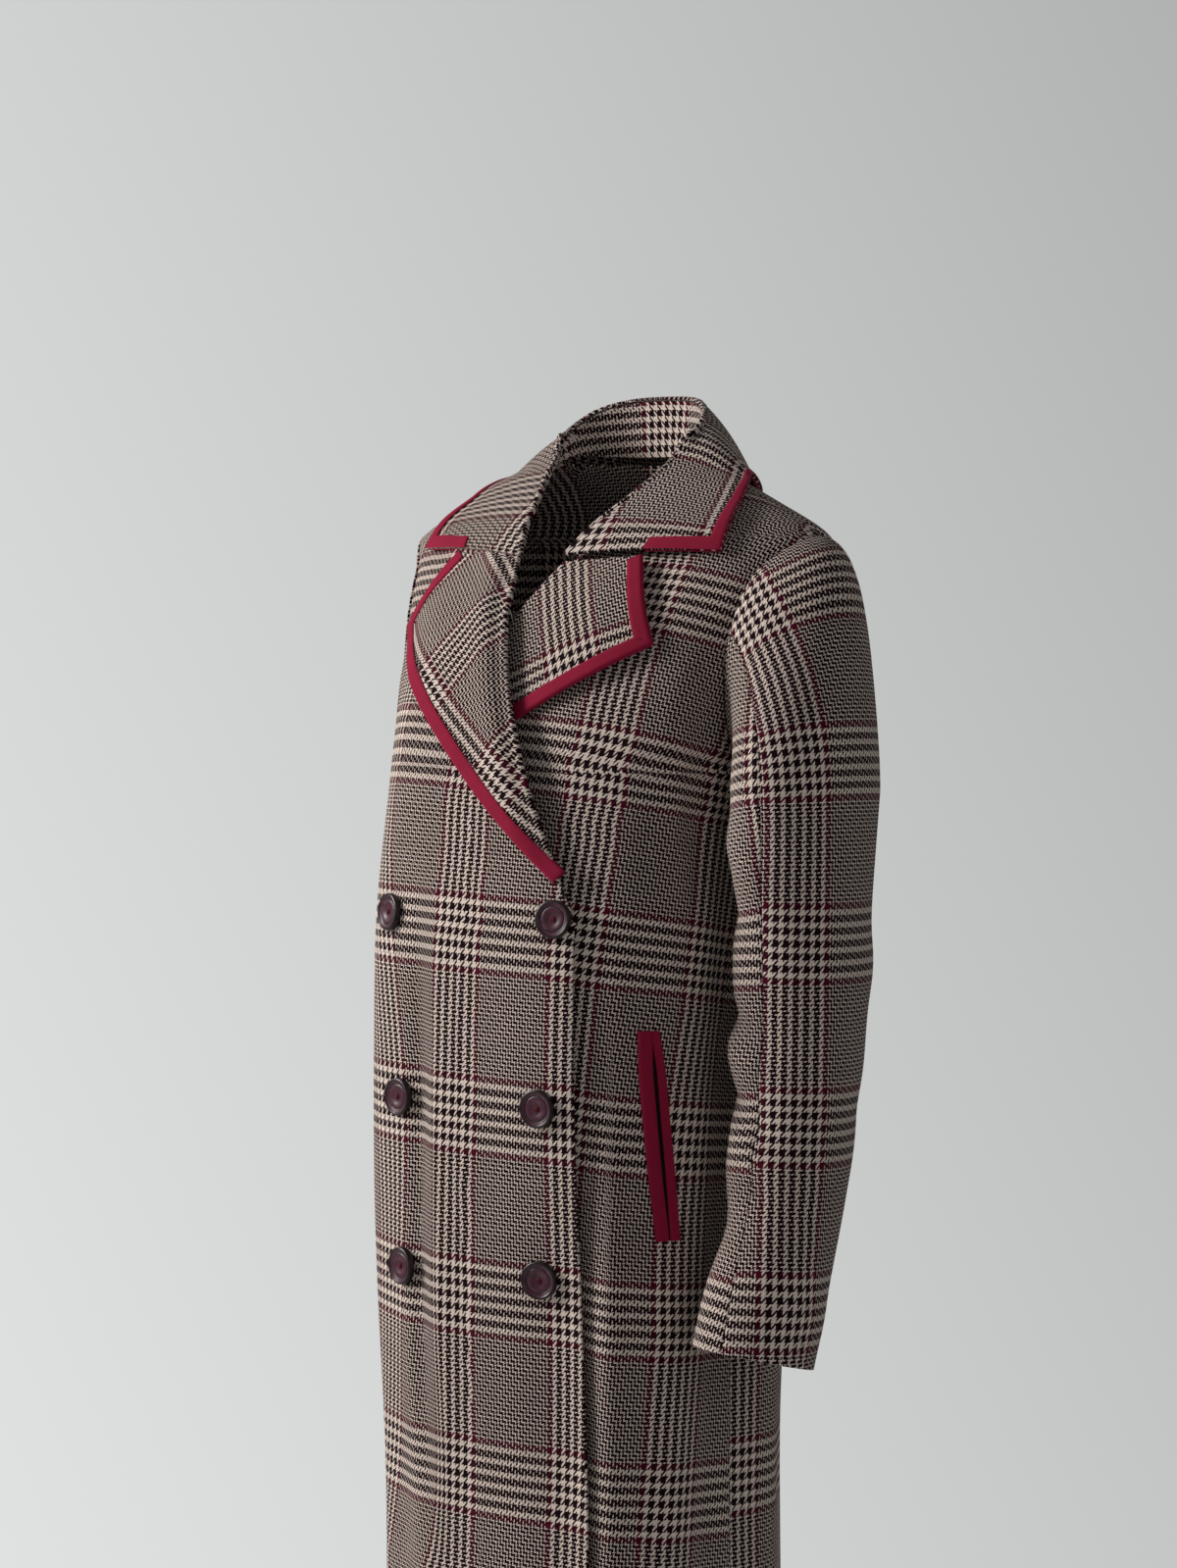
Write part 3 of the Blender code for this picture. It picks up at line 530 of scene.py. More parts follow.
def outer_lift(x, z):
    """How far the right front stands off the form where it passes over the left front and lapel."""
    overlap = OUTER_FRONT_LIFT * eased((FRONT_EDGE_X + OVERLAP_BLEND - x) / OVERLAP_BLEND)
    near_roll = eased((OVER_LAPEL_REACH - x) / OVER_LAPEL_BLEND)
    height = eased((z - OVER_LAPEL_LOW) / OVER_LAPEL_RISE) * eased((OVER_LAPEL_HIGH - z) / OVER_LAPEL_FALL)
    return overlap + OVER_LAPEL_LIFT * near_roll * height


def front_lift(x, z, side):
    """How far a front stands off the form, inwards on the left where the right front covers it."""
    if side == "right":
        return outer_lift(x, z)
    return -INNER_FRONT_DROP * eased((FRONT_EDGE_X + OVERLAP_BLEND - x) / OVERLAP_BLEND)


def panel_grid(side, front):
    """A front from its edge or roll line to its side, or a back from its side to the centre back seam."""
    heights = panel_heights()
    columns = FRONT_COLUMNS if front else BACK_COLUMNS
    rows = []
    for z in heights:
        start = float(angle_at_x(inner_x(z, side), z)) if front else side_angle(z, False)
        rows.append(panel_row(z, start, side_angle(z, True) if front else math.pi, columns))
    angle, length = np.array([row[0] for row in rows]), np.array([row[1] for row in rows])
    z = np.repeat(heights[:, None], columns + 1, axis=1)
    pull = np.exp(-((length[:, -1:] - length) / SEAM_REACH) ** 2)
    if front:
        lift = front_lift(torso_point(angle, z)[..., 0], z, side) - SEAM_PULL * pull
    else:
        lift = -SEAM_PULL * (np.exp(-(length / SEAM_REACH) ** 2) + pull)
    return form_point(angle, z, lift, side)


# ---------------------------------------------------------------- lapels and collar

def roll_distance(x, z, side):
    """Distance of a place on the front from its roll line, towards the lapel's tip."""
    start = np.array(BREAK[side])
    run = unit(np.array(ROLL_TOP) - start)
    return (x - start[0]) * run[1] - (z - start[1]) * run[0]


def lapel_lift(x, z, side):
    """How far a lapel's middle stands off the form: over its front, and rounder at the roll."""
    away = roll_distance(x, z, side) / ROLL_WIDTH
    if side == "left":
        return TUCKED_LIFT + (LAPEL_LIFT - TUCKED_LIFT) * eased((x - TUCKED_TO_X) / TUCKED_BLEND)
    rest = FOLDED + (LAPEL_LIFT - FOLDED) * eased(away)
    fade = eased((z - BREAK[side][1]) / ROLL_FADE)
    return outer_lift(x, z) + rest + ROLL_LIFT * eased(away * 2) * np.exp(-2 * (away - 0.6) ** 2) * fade


def lapel_point(x, z, side, above=0.0):
    """A place on the turned lapel: it rolls up at the roll line and settles towards its edge."""
    return form_point(angle_at_x(x, z), z, lapel_lift(x, z, side) + above, side)


def lapel_outline(side, count):
    """Outer edge of a lapel from its break to its tip, bowed a little, as places x and z."""
    start, end = np.array(BREAK[side]), np.array(LAPEL_TIP[side])
    t = np.linspace(0, 1, count)[:, None]
    across = unit(np.array([end[1] - start[1], start[0] - end[0]]))
    return start + (end - start) * t + across * LAPEL_BOW[side] * 4 * t * (1 - t)


def lapel_grid(side):
    """The lapel from its roll line to its edge, break to gorge, and the curl of its fold."""
    edge = lapel_outline(side, LAPEL_ROWS)
    gorge_end, notch, tip = (np.array(place) for place in (ROLL_GORGE, NOTCH, LAPEL_TIP[side]))
    t = np.linspace(0, 1, LAPEL_ROWS)[:, None]
    start = np.array(BREAK[side]) + (edge[1] - edge[0]) * 0.8
    roll = start + (gorge_end - start) * t
    # Keeps the lowest row from closing to a point
    edge[0] = start + np.array([0.004, 0.001])
    u = np.linspace(0, 1, LAPEL_COLUMNS)[:, None]
    places = roll[:, None] + (edge - roll)[:, None] * u
    gorge = gorge_end + (notch - gorge_end) * (u / NOTCH_SHARE)
    short = notch + (tip - notch) * ((u - NOTCH_SHARE) / NOTCH_SHARE)
    weight = np.clip((t - 0.45) / 0.55, 0, 1) ** 1.5
    places = places + weight[:, None] * (np.where(u <= NOTCH_SHARE, gorge, short) - places[-1])
    flat = lapel_point(places[..., 0], places[..., 1], side)
    roll_x, roll_z = roll[:, 0], roll[:, 1]
    front = form_point(angle_at_x(roll_x, roll_z), roll_z, front_lift(roll_x, roll_z, side), side)
    rise = (flat[:, 0] - front)[:, None]
    inward = unit(flat[:, 0] - flat[:, 1])[:, None]
    phi = np.linspace(math.radians(20), math.pi, CURL_COLUMNS + 1)[:-1, None]
    radius = np.linalg.norm(rise, axis=-1, keepdims=True) / 2
    fold = front[:, None] + rise * (1 - np.cos(phi)) / 2 + inward * radius * np.sin(phi)
    return np.concatenate([fold, flat], axis=1)


def collar_frame(places):
    """Neck seam, roll edge and outer edge of the collar at places from -1 to 1 round the neck."""
    knots = np.linspace(0, 1, len(COLLAR_ROWS))
    full_knots = np.concatenate([-knots[:0:-1], knots])
    full = np.concatenate([(COLLAR_ROWS * np.tile((-1, 1, 1), 3))[:0:-1], COLLAR_ROWS])
    values = smooth(places, full_knots, full)
    return values[..., 0:3], values[..., 3:6], values[..., 6:9]


def collar_point(place, across):
    """A place on the collar's fall: across is 0 at the roll edge and 1 at the outer edge."""
    _, roll, edge = collar_frame(place)
    across = across[..., None]
    away = unit(edge - roll)
    up = unit(np.array((0, 0, 1.0)) - away * away[..., 2:3])
    open_back = 1 - np.abs(place)[..., None] ** 3
    rise = COLLAR_BULGE * 4 * across * np.clip(1 - across, 0, 1) ** 1.6 * open_back
    return keep_clear(roll + (edge - roll) * across + up * rise, COLLAR_CLEARANCE)


def collar_normal(place, across):
    """Outward direction of the collar's fall at a place on it."""
    step = 0.02
    low, high = np.clip(place - step, -1, 1), np.clip(place + step, -1, 1)
    near, far = np.clip(across - step, 0, 1), np.clip(across + step, 0, 1)
    round_neck = collar_point(high, across) - collar_point(low, across)
    return unit(np.cross(round_neck, collar_point(place, far) - collar_point(place, near)))


def collar_inward(places):
    """Level direction from the collar towards the neck's axis."""
    _, roll, _ = collar_frame(places)
    return unit(roll * (-1, -1, 0) + (0, NECK_AXIS_Y, 0))


def collar_fall_grid(columns=150, rows=26, curl=7):
    """The collar's fall from the wearer's right end to the left, with the curl of its roll edge."""
    place, across = np.meshgrid(np.linspace(-1, 1, columns + 1), np.linspace(1, 0, rows))
    fall = collar_point(place, across)
    inward = collar_inward(place[0])
    phi = np.linspace(math.pi, 0, curl)[1:, None, None]
    centre = fall[-1] + inward * ROLL_RADIUS
    rolled = centre + ROLL_RADIUS * (inward * np.cos(math.pi - phi) + np.array((0, 0, 1.0)) * np.sin(phi))
    return np.concatenate([fall, rolled])


def collar_stand_grid(columns=110, rows=10):
    """The collar's stand, inside the neck, from the neck seam up to the roll."""
    places = np.linspace(-STAND_REACH, STAND_REACH, columns + 1)
    neck, roll, _ = collar_frame(places)
    inward = collar_inward(places)
    low = neck + inward * STAND_INSET + (0, 0, 0.001)
    high = collar_point(places, np.zeros_like(places)) + inward * ROLL_RADIUS * 2 - (0, 0, 0.0008)
    return low + (high - low) * np.linspace(0, 1, rows)[:, None, None]


# ---------------------------------------------------------------- trims

def inset_path(path, width):
    """An open line of places moved in to its left by a width, with mitred corners."""
    steps = unit(np.diff(path, axis=0))
    left = np.stack([-steps[:, 1], steps[:, 0]], axis=1)
    before, after = np.concatenate([left[:1], left]), np.concatenate([left, left[-1:]])
    return path + (before + after) / (1 + np.sum(before * after, axis=1, keepdims=True)) * width


def wrap_profile(width, wall):
    """Section of a binding folded round a cloth edge: insets from the edge, and heights above the cloth."""
    reach = WALL / 2 + wall / 2 + 0.0001
    turn = np.linspace(math.pi / 2, -math.pi / 2, BINDING_STEPS)
    top = np.linspace(width, 0, BINDING_STEPS + 1)[:-1]
    inset = np.concatenate([top, -reach * np.cos(turn), top[::-1]])
    level = np.full(BINDING_STEPS, reach)
    height = np.concatenate([level, reach * np.sin(turn), -level])
    ease = np.minimum(1, (width - inset) / 0.0012)
    return inset, height * (0.72 + 0.28 * np.sqrt(np.clip(ease, 0, 1)))


def lapel_binding_grid(side, width, wall):
    """Binding folded round a lapel's edge, from its notch round the tip and down to its break."""
    edge = lapel_outline(side, 70)[1:]
    short = np.array(NOTCH) + (np.array(LAPEL_TIP[side]) - np.array(NOTCH)) * np.linspace(0, 1, 14)[:-1, None]
    path = np.concatenate([short, edge[::-1]])
    inset, height = wrap_profile(width, wall)
    places = np.stack([inset_path(path, -step) for step in inset], axis=1)
    return lapel_point(places[..., 0], places[..., 1], side, height)


def collar_binding_grid(width, wall):
    """Binding folded round the collar's free edges, from one notch round the back to the other."""
    inset, height = wrap_profile(width, wall)
    _, roll, edge = collar_frame(np.array(1.0))
    deep = float(np.linalg.norm(edge - roll))
    across = np.linspace(NOTCH_ACROSS, 1, 12)
    near = collar_point(np.full_like(across, 0.98), across)
    speed = np.linalg.norm(collar_point(np.full_like(across, 1.0), across) - near, axis=-1) / 0.02
    columns = []
    for step, rise in zip(np.clip(inset, 0, None), height):
        far = 1 - step / deep
        short = np.linspace(NOTCH_ACROSS, far, 11)
        end = 1 - step / np.interp(short, across, speed)
        first = np.stack([-end, short], axis=1)
        round_neck = np.linspace(-end[-1], end[-1], 150)
        long_edge = np.stack([round_neck, np.full_like(round_neck, far)], axis=1)[1:-1]
        columns.append(np.concatenate([first, long_edge, (first * (-1, 1))[::-1]]))
    places = np.stack(columns, axis=1)
    place, across = places[..., 0], places[..., 1]
    on_cloth, normal = collar_point(place, across), collar_normal(place, across)
    outward = unit(on_cloth[:, :1] - on_cloth[:, BINDING_STEPS:BINDING_STEPS + 1])
    return on_cloth + normal * height[:, None] + outward * np.clip(-inset, 0, None)[:, None]


def welt_grid(part, side, width, wall):
    """A welt of the slanted pocket beside its slit, which opens below the top, or the near-black strip in the
    slit, which is painted shade.
    """
    t = np.linspace(0, 1, WELT_ROWS)[:, None]
    line = np.array(WELT_BOTTOM) + (np.array(WELT_TOP) - np.array(WELT_BOTTOM)) * t
    slit = SLIT_HALF_WIDTH * eased((1 - t) / 0.22) * (0.45 + 0.55 * eased(t / 0.35))
    spread = np.linspace(0, 1, WELT_COLUMNS)
    if part == "mouth":
        offset = (spread * 2 - 1) * MOUTH_HALF_WIDTH
        height = np.full(WELT_COLUMNS, WALL / 2 + 0.0004)
    else:
        forward = part == "forward"
        shape = width * (1.05 if forward else 0.86) * (1 - 0.30 * t * (not forward))
        offset = (slit + shape * spread) * (-1 if forward else 1)
        round_edge = np.sqrt(np.clip(1 - np.abs(2 * spread - 1) ** 5, 0, 1))
        height = WALL / 2 + 0.0003 + wall / 2 + (0.0011 if forward else 0.0007) * round_edge
        if forward:
            offset, height = offset[:, ::-1], height[::-1]
    rows = []
    for (arc, z), shift in zip(line, np.broadcast_to(offset, (WELT_ROWS, WELT_COLUMNS))):
        angles, length = measured(z, 0, math.pi / 2, 300)
        angle = np.interp(arc + shift, length, angles)
        rows.append(form_point(angle, np.full_like(angle, z), height, side))
    return np.array(rows)


# ---------------------------------------------------------------- sleeves

def sleeve_relief(turn, share, side):
    """How far a sleeve's soft folds stand out, at a turn round the arm and a share up it."""
    total = np.zeros(np.broadcast(turn, share).shape)
    shift = 0.0 if side == "left" else RIGHT_FOLD_SHIFT
    for middle, height, turn_spread, share_spread, depth, climb in SLEEVE_FOLDS:
        away = (np.degrees(turn) - middle + 180) % 360 - 180
        up = share - height - shift - climb * away / 180
        total = total + depth * np.exp(-(away / turn_spread) ** 2 - (up / share_spread) ** 2)
    return total


def sleeve_point(side, share, turn):
    """A place on the sleeve below the underarm: share 0 at the cuff, 1 at the underarm ring."""
    rings = SLEEVES[side]
    low, high = rings[0, 0], rings[-1, 0]
    z = low + (high - low) * share
    x, y, half_width, half_depth = np.moveaxis(smooth(z, rings[:, 0], rings[:, 1:]), -1, 0)
    above, below = np.minimum(z + 0.004, high), np.maximum(z - 0.004, low)
    lean = smooth(above, rings[:, 0], rings[:, 1:3]) - smooth(below, rings[:, 0], rings[:, 1:3])
    lean_x, lean_y = np.moveaxis(lean / (above - below)[..., None], -1, 0)
    puff = sleeve_relief(turn, share, side) * eased((1 - share) / 0.12)
    across, forward = (half_width + puff) * np.cos(turn), (half_depth + puff) * np.sin(turn)
    tilt = np.clip(1 - share, 0, 1) ** 0.5
    drop = tilt * (across * lean_x - forward * lean_y)
    return np.stack([x + across, y - forward, z - drop], axis=-1)


def sleeve_head_point(side, share, turn):
    """A place on the sleeve's head: share 0 at the underarm ring, 1 at the armhole seam."""
    under = (1 - np.cos(turn)) / 2
    seam = armhole_point(turn)
    seam = seam + np.stack([0.0006 + 0.0028 * under, 0 * under, 0 * under], axis=-1)
    ring = sleeve_point(side, np.ones_like(turn), turn)
    distance = np.linalg.norm(seam - ring, axis=-1)
    back = np.clip((ring - seam)[..., 1] / 0.060, -0.5, 1)
    out = np.stack([1 - 0.6 * np.clip(back, 0, 1), 0.7 * back - 0.1 * np.sin(turn),
                    np.full_like(turn, -0.25)], axis=-1)
    leave = out * (SLEEVE_HEAD_OUT * (1 - under) ** 1.2 + 0.012 * under)[..., None]
    arrive = np.stack([0 * turn, 0 * turn, -distance], axis=-1)
    t = (1 - share)[..., None]
    start = seam * (1 + 2 * t) * (1 - t) ** 2 + leave * t * (1 - t) ** 2
    return start + ring * t * t * (3 - 2 * t) + arrive * t * t * (t - 1)


def sleeve_grid(part, side):
    """One of a sleeve's two pieces, from the cuff to the armhole seam."""
    gap = SEAM_GAP / SLEEVE_RADIUS
    if part == "upper":
        turns = np.linspace(BACK_SLEEVE_SEAM + gap / 2, FRONT_SLEEVE_SEAM - gap / 2, UPPER_SLEEVE_COLUMNS + 1)
    else:
        turns = np.linspace(FRONT_SLEEVE_SEAM + gap / 2, BACK_SLEEVE_SEAM + 2 * math.pi - gap / 2,
                            UNDER_SLEEVE_COLUMNS + 1)
    low_turn, low_share = np.meshgrid(turns, np.linspace(0, 1, SLEEVE_ROWS + 1)[:-1])
    head_turn, head_share = np.meshgrid(turns, np.linspace(0, 1, SLEEVE_HEAD_ROWS + 1))
    head = sleeve_head_point(side, head_share, head_turn)
    return np.concatenate([sleeve_point(side, low_share, low_turn), head])[:, ::-1]


def with_allowance(grid, flat):
    """A sleeve piece and its flat pattern with a narrow allowance past the armhole, inside the coat."""
    longer = SEAM_ALLOWANCE / np.linalg.norm(grid[-1] - grid[-2], axis=-1, keepdims=True)
    return tuple(np.concatenate([rows, rows[-1:] + (rows[-1:] - rows[-2:-1]) * longer])
                 for rows in (grid, flat))


# ---------------------------------------------------------------- flat patterns

def relax(flat, first, second, rest):
    """Pull pairs of places towards the distances that the cloth holds them at."""
    gap = flat[second] - flat[first]
    length = np.linalg.norm(gap, axis=-1, keepdims=True)
    move = gap * (0.5 * (length - rest[..., None]) / np.maximum(length, 1e-9))
    flat[first] += move
    flat[second] -= move


def run_of(grid):
    """How far each row of a grid lies from the first, as the mean length of cloth between them."""
    return np.concatenate([[0], np.cumsum(np.linalg.norm(np.diff(grid, axis=0), axis=-1).mean(axis=1))])


def flattened(grid, anchor, offset=None, steps=500, rows=48, columns=18, own=False):
    """Flat pattern of a grid of cloth, in metres.

    It starts from each row's lengths to either side of the anchor column, at that column's height or, with
    own, at each column's own, and is then relaxed on a coarse grid until its edges and diagonals fit.
    """
    tall, wide = run_of(grid), run_of(np.swapaxes(grid, 0, 1))
    pick_r = np.unique(np.searchsorted(tall, np.linspace(0, tall[-1] - 1e-9, rows)))
    pick_c = np.unique(np.searchsorted(wide, np.linspace(0, wide[-1] - 1e-9, columns)))
    coarse = grid[pick_r][:, pick_c]
    column = int(np.argmin(np.abs(pick_c - anchor * (grid.shape[1] - 1))))
    across = np.linalg.norm(np.diff(coarse, axis=1), axis=-1)
    u = np.concatenate([np.zeros((len(coarse), 1)), np.cumsum(across, axis=1)], axis=1)
    u = u - u[:, column:column + 1]
    rise = np.diff(coarse if own else coarse[:, column:column + 1], axis=0)
    if offset is not None:
        rise = rise * (0, 1, 1)
        u = u + offset[pick_r][:, None]
    v = np.concatenate([np.zeros((1, rise.shape[1])), np.cumsum(np.linalg.norm(rise, axis=-1), axis=0)])
    flat = np.stack(np.broadcast_arrays(u, v), axis=-1).copy()
    guess = flat.copy()
    pairs = []
    every = slice(None)
    count_r, count_c = coarse.shape[:2]
    row_pairs = [(slice(start, count_r - 1, 2), slice(start + 1, count_r, 2)) for start in (0, 1)]
    column_pairs = [(slice(start, count_c - 1, 2), slice(start + 1, count_c, 2)) for start in (0, 1)]
    for (low, high), (here, there) in zip(row_pairs, column_pairs):
        pairs += [((every, here), (every, there)), ((low, every), (high, every))]
        for left, right in column_pairs:
            pairs += [((low, left), (high, right)), ((low, right), (high, left))]
    rests = [np.linalg.norm(coarse[second] - coarse[first], axis=-1) for first, second in pairs]
    for _ in range(steps):
        for (first, second), rest in zip(pairs, rests):
            relax(flat, first, second, rest)
    low_half = slice(0, max(3, count_r // 2))
    mine, theirs = flat[low_half].reshape(-1, 2), guess[low_half].reshape(-1, 2)
    centre, goal = mine.mean(axis=0), theirs.mean(axis=0)
    cross = (mine - centre).T @ (theirs - goal)
    turn = math.atan2(cross[0, 1] - cross[1, 0], cross[0, 0] + cross[1, 1])
    flat = turned(flat - centre, turn) + goal
    spread = smooth(wide, wide[pick_c], np.moveaxis(flat, 1, 0))
    return smooth(tall, tall[pick_r], np.moveaxis(spread, 1, 0))


def turned(flat, angle):
    """Places turned round the origin."""
    cosine, sine = math.cos(angle), math.sin(angle)
    return flat @ np.array([[cosine, sine], [-sine, cosine]])


def plumb(flat, top, bottom):
    """A flat pattern turned so that the line between two of its places is upright."""
    run = flat[top] - flat[bottom]
    return turned(flat - flat[bottom], math.pi / 2 - math.atan2(run[1], run[0]))


# ---------------------------------------------------------------- materials

class Shading:
    """A node tree, with short ways to work out numbers in it."""

    def __init__(self, tree):
        self.tree = tree

    def put(self, socket, value):
        """Link an output to a socket, or set the socket."""
        if isinstance(value, bpy.types.NodeSocket):
            self.tree.links.new(value, socket)
        else:
            socket.default_value = value

    def math(self, kind, *values):
        """A number worked out from up to three others."""
        node = self.tree.nodes.new("ShaderNodeMath")
        node.operation = kind
        for socket, value in zip(node.inputs, values):
            self.put(socket, value)
        return node.outputs[0]


class Looks(Shading):
    """A material's shader, with short ways to add nodes to it."""

    def __init__(self, name, roughness, **fixed):
        self.material = bpy.data.materials.new(name)
        self.material.use_nodes = True
        super().__init__(self.material.node_tree)
        self.shader = self.tree.nodes["Principled BSDF"]
        self.shader.inputs["Roughness"].default_value = roughness
        for socket, value in fixed.items():
            self.shader.inputs[socket.replace("_", " ")].default_value = value

    def mix(self, share, first, second, blend="MIX"):
        """One colour mixed into another."""
        node = self.tree.nodes.new("ShaderNodeMix")
        node.data_type, node.blend_type = "RGBA", blend
        self.put(node.inputs[0], share)
        for socket, value in ((node.inputs[6], first), (node.inputs[7], second)):
            self.put(socket, (*value, 1) if isinstance(value, tuple) else value)
        return node.outputs[2]

    def noise(self, vector, scale, detail):
        """Soft noise from 0 to 1."""
        node = self.tree.nodes.new("ShaderNodeTexNoise")
        node.inputs["Scale"].default_value = scale
        node.inputs["Detail"].default_value = detail
        self.put(node.inputs["Vector"], vector)
        return node.outputs["Fac"]

    def white(self, number, seed):
        """A number from 0 to 1 for each whole number."""
        node = self.tree.nodes.new("ShaderNodeTexWhiteNoise")
        node.noise_dimensions = "1D"
        self.put(node.inputs["W"], self.math("ADD", number, seed))
        return node.outputs["Value"]

    def place(self):
        """The surface's own place in space."""
        return self.tree.nodes.new("ShaderNodeTexCoord").outputs["Object"]

    def bump(self, height, strength, distance):
        """Raise the surface by a height."""
        node = self.tree.nodes.new("ShaderNodeBump")
        node.inputs["Strength"].default_value = strength
        node.inputs["Distance"].default_value = distance
        self.put(node.inputs["Height"], height)
        self.put(self.shader.inputs["Normal"], node.outputs["Normal"])

    def color(self, value):
        """Set the base colour."""
        self.put(self.shader.inputs["Base Color"], value)


def scaled(color, by):
    """A colour made darker or lighter."""
    return tuple(min(1, value * by) for value in color)


def yarn_color(looks, index):
    """Whether a place lies on a dark yarn, and whether on a burgundy one, by its count in the check."""
    place = looks.math("FLOORED_MODULO", index, BAND + FINE)
    wide = looks.math("LESS_THAN", place, BAND + SPREAD)
    # The wide band has six dark yarns in twelve, and the fine check two in four
    group = looks.math("FLOORED_MODULO", looks.math("ADD", place, SPREAD), 12)
    dark_wide = looks.math("LESS_THAN", group, 6 + 2 * SPREAD)
    pair = looks.math("FLOORED_MODULO", looks.math("SUBTRACT", place, BAND + 2 - SPREAD), 4)
    dark_fine = looks.math("LESS_THAN", pair, 2 + 2 * SPREAD)
    gap = looks.math("SUBTRACT", dark_wide, dark_fine)
    dark = looks.math("MULTIPLY_ADD", gap, wide, dark_fine)
    # Dark yarns among the first and the last six of the wide band are burgundy
    first = looks.math("LESS_THAN", place, 6)
    last = looks.math("MULTIPLY", wide, looks.math("GREATER_THAN", place, BAND - 6))
    return dark, looks.math("MAXIMUM", first, last)


def wool(cloth):
    """Checked wool woven in a three-and-three twill from the piece's flat pattern."""
    looks = Looks("checked wool", 0.95, Sheen_Weight=0.03, Sheen_Roughness=0.5, Specular_IOR_Level=0.06)
    uv = looks.tree.nodes.new("ShaderNodeUVMap")
    uv.uv_map = "cloth"
    split = looks.tree.nodes.new("ShaderNodeSeparateXYZ")
    looks.put(split.inputs[0], uv.outputs[0])
    space = looks.place()

    def yarns(axis, pitch, scale):
        """Count of yarns along one axis of the pattern, wandering a little."""
        wander = looks.math("MULTIPLY", looks.math("SUBTRACT", looks.noise(space, scale, 1), 0.5), 0.5)
        return looks.math("ADD", looks.math("DIVIDE", split.outputs[axis], pitch), wander)

    across, up = yarns(0, cloth.warp, 900), yarns(1, cloth.weft, 760)
    warp, weft = looks.math("FLOOR", across), looks.math("FLOOR", up)
    warp_dark, warp_line = yarn_color(looks, across)
    weft_dark, weft_line = yarn_color(looks, up)
    step = looks.math("FLOORED_MODULO", looks.math("SUBTRACT", warp, weft), 6)
    warp_up = looks.math("LESS_THAN", step, 2.5)

    def pick(for_warp, for_weft):
        """The value of the yarn that lies on top."""
        gap = looks.math("SUBTRACT", for_warp, for_weft)
        return looks.math("MULTIPLY_ADD", gap, warp_up, for_weft)

    def round_yarn(count):
        """Height across a round yarn."""
        return looks.math("SINE", looks.math("MULTIPLY", looks.math("FRACT", count), math.pi))

    dark, line = pick(warp_dark, weft_dark), pick(warp_line, weft_line)
    tone = pick(looks.white(warp, 0.37), looks.white(weft, 7.91))
    deep = looks.mix(line, tuple(cloth.black), tuple(cloth.burgundy))
    color = looks.mix(dark, tuple(cloth.cream), deep)
    shade = looks.math("MULTIPLY_ADD", tone, 0.26, 0.86)
    hair = looks.math("MULTIPLY_ADD", looks.noise(space, 2600, 2), 0.5, 0.75)
    cloudy = looks.math("MULTIPLY_ADD", looks.noise(space, 14, 2), 0.16, 0.92)
    shade = looks.math("MULTIPLY", looks.math("MULTIPLY", shade, hair), cloudy)
    profile = pick(round_yarn(across), round_yarn(up))
    # Painted shade: each yarn is darkened towards its edges, standing in for the shade in the gaps between the
    # yarns
    painted_gap_shade = looks.math("MULTIPLY_ADD", looks.math("POWER", profile, 0.5), 0.55, 0.52)
    shade = looks.math("MULTIPLY", shade, painted_gap_shade)
    combined = looks.tree.nodes.new("ShaderNodeCombineColor")
    for socket in combined.inputs:
        looks.put(socket, shade)
    looks.color(looks.mix(1.0, color, combined.outputs[0], "MULTIPLY"))
    height = looks.math("ADD", profile, looks.math("MULTIPLY", looks.noise(space, 1800, 3), 0.8))
    looks.bump(height, 0.5, 0.0003)
    return looks.material


def felt(trim):
    """Dense crimson felt."""
    looks = Looks("crimson felt", 0.88, Sheen_Weight=0.25, Sheen_Roughness=0.45, Specular_IOR_Level=0.2)
    looks.shader.inputs["Sheen Tint"].default_value = (0.75, 0.15, 0.25, 1)
    space = looks.place()
    cloudy = looks.math("MULTIPLY_ADD", looks.noise(space, 60, 3), 0.5, 0.25)
    looks.color(looks.mix(cloudy, scaled(trim.felt, 0.62), scaled(trim.felt, 1.25)))
    looks.bump(looks.noise(space, 1500, 4), 0.6, 0.0004)
    return looks.material


def horn(buttons):
    """Polished plum button, marbled like horn, darker at its rim, with painted shade in its ring groove and on
    its back.
    """
    looks = Looks("plum button", 0.38, Coat_Weight=0.12, Coat_Roughness=0.2, Specular_IOR_Level=0.4)
    space = looks.place()
    marble = looks.math("MULTIPLY_ADD", looks.noise(space, 240, 4), 1.6, -0.35)
    disc = looks.mix(marble, scaled(buttons.plum, 0.55), scaled(buttons.plum, 1.7))
    # The "rim" mask: the dark rim band, plus painted shade in the ring groove and on the back
    rim = looks.tree.nodes.new("ShaderNodeAttribute")
    rim.attribute_name = "rim"
    looks.color(looks.mix(rim.outputs["Fac"], disc, scaled(buttons.plum, 0.16)))
    looks.bump(looks.noise(space, 500, 2), 0.05, 0.0003)
    return looks.material


def thread(buttons):
    """Waxed sewing thread."""
    looks = Looks("button thread", 0.7, Specular_IOR_Level=0.3)
    grain = looks.noise(looks.place(), 3000, 1)
    looks.color(looks.mix(grain, scaled(buttons.thread, 0.5), tuple(buttons.thread)))
    return looks.material


def painted_slit_shade(_):
    """Near-black cloth inside the pocket's mouth, which is painted shade in the slit."""
    looks = Looks("pocket cloth", 0.95, Specular_IOR_Level=0.1)
    looks.color(looks.mix(looks.noise(looks.place(), 1200, 2), (0.006, 0.003, 0.004), (0.016, 0.009, 0.010)))
    return looks.material


def look(name, make, source):
    """A material by name, made when it is first asked for."""
    return bpy.data.materials.get(name) or make(source)


# ---------------------------------------------------------------- meshes

def only(obj):
    """Select one object and nothing else."""
    bpy.ops.object.select_all(action="DESELECT")
    obj.select_set(True)
    bpy.context.view_layer.objects.active = obj


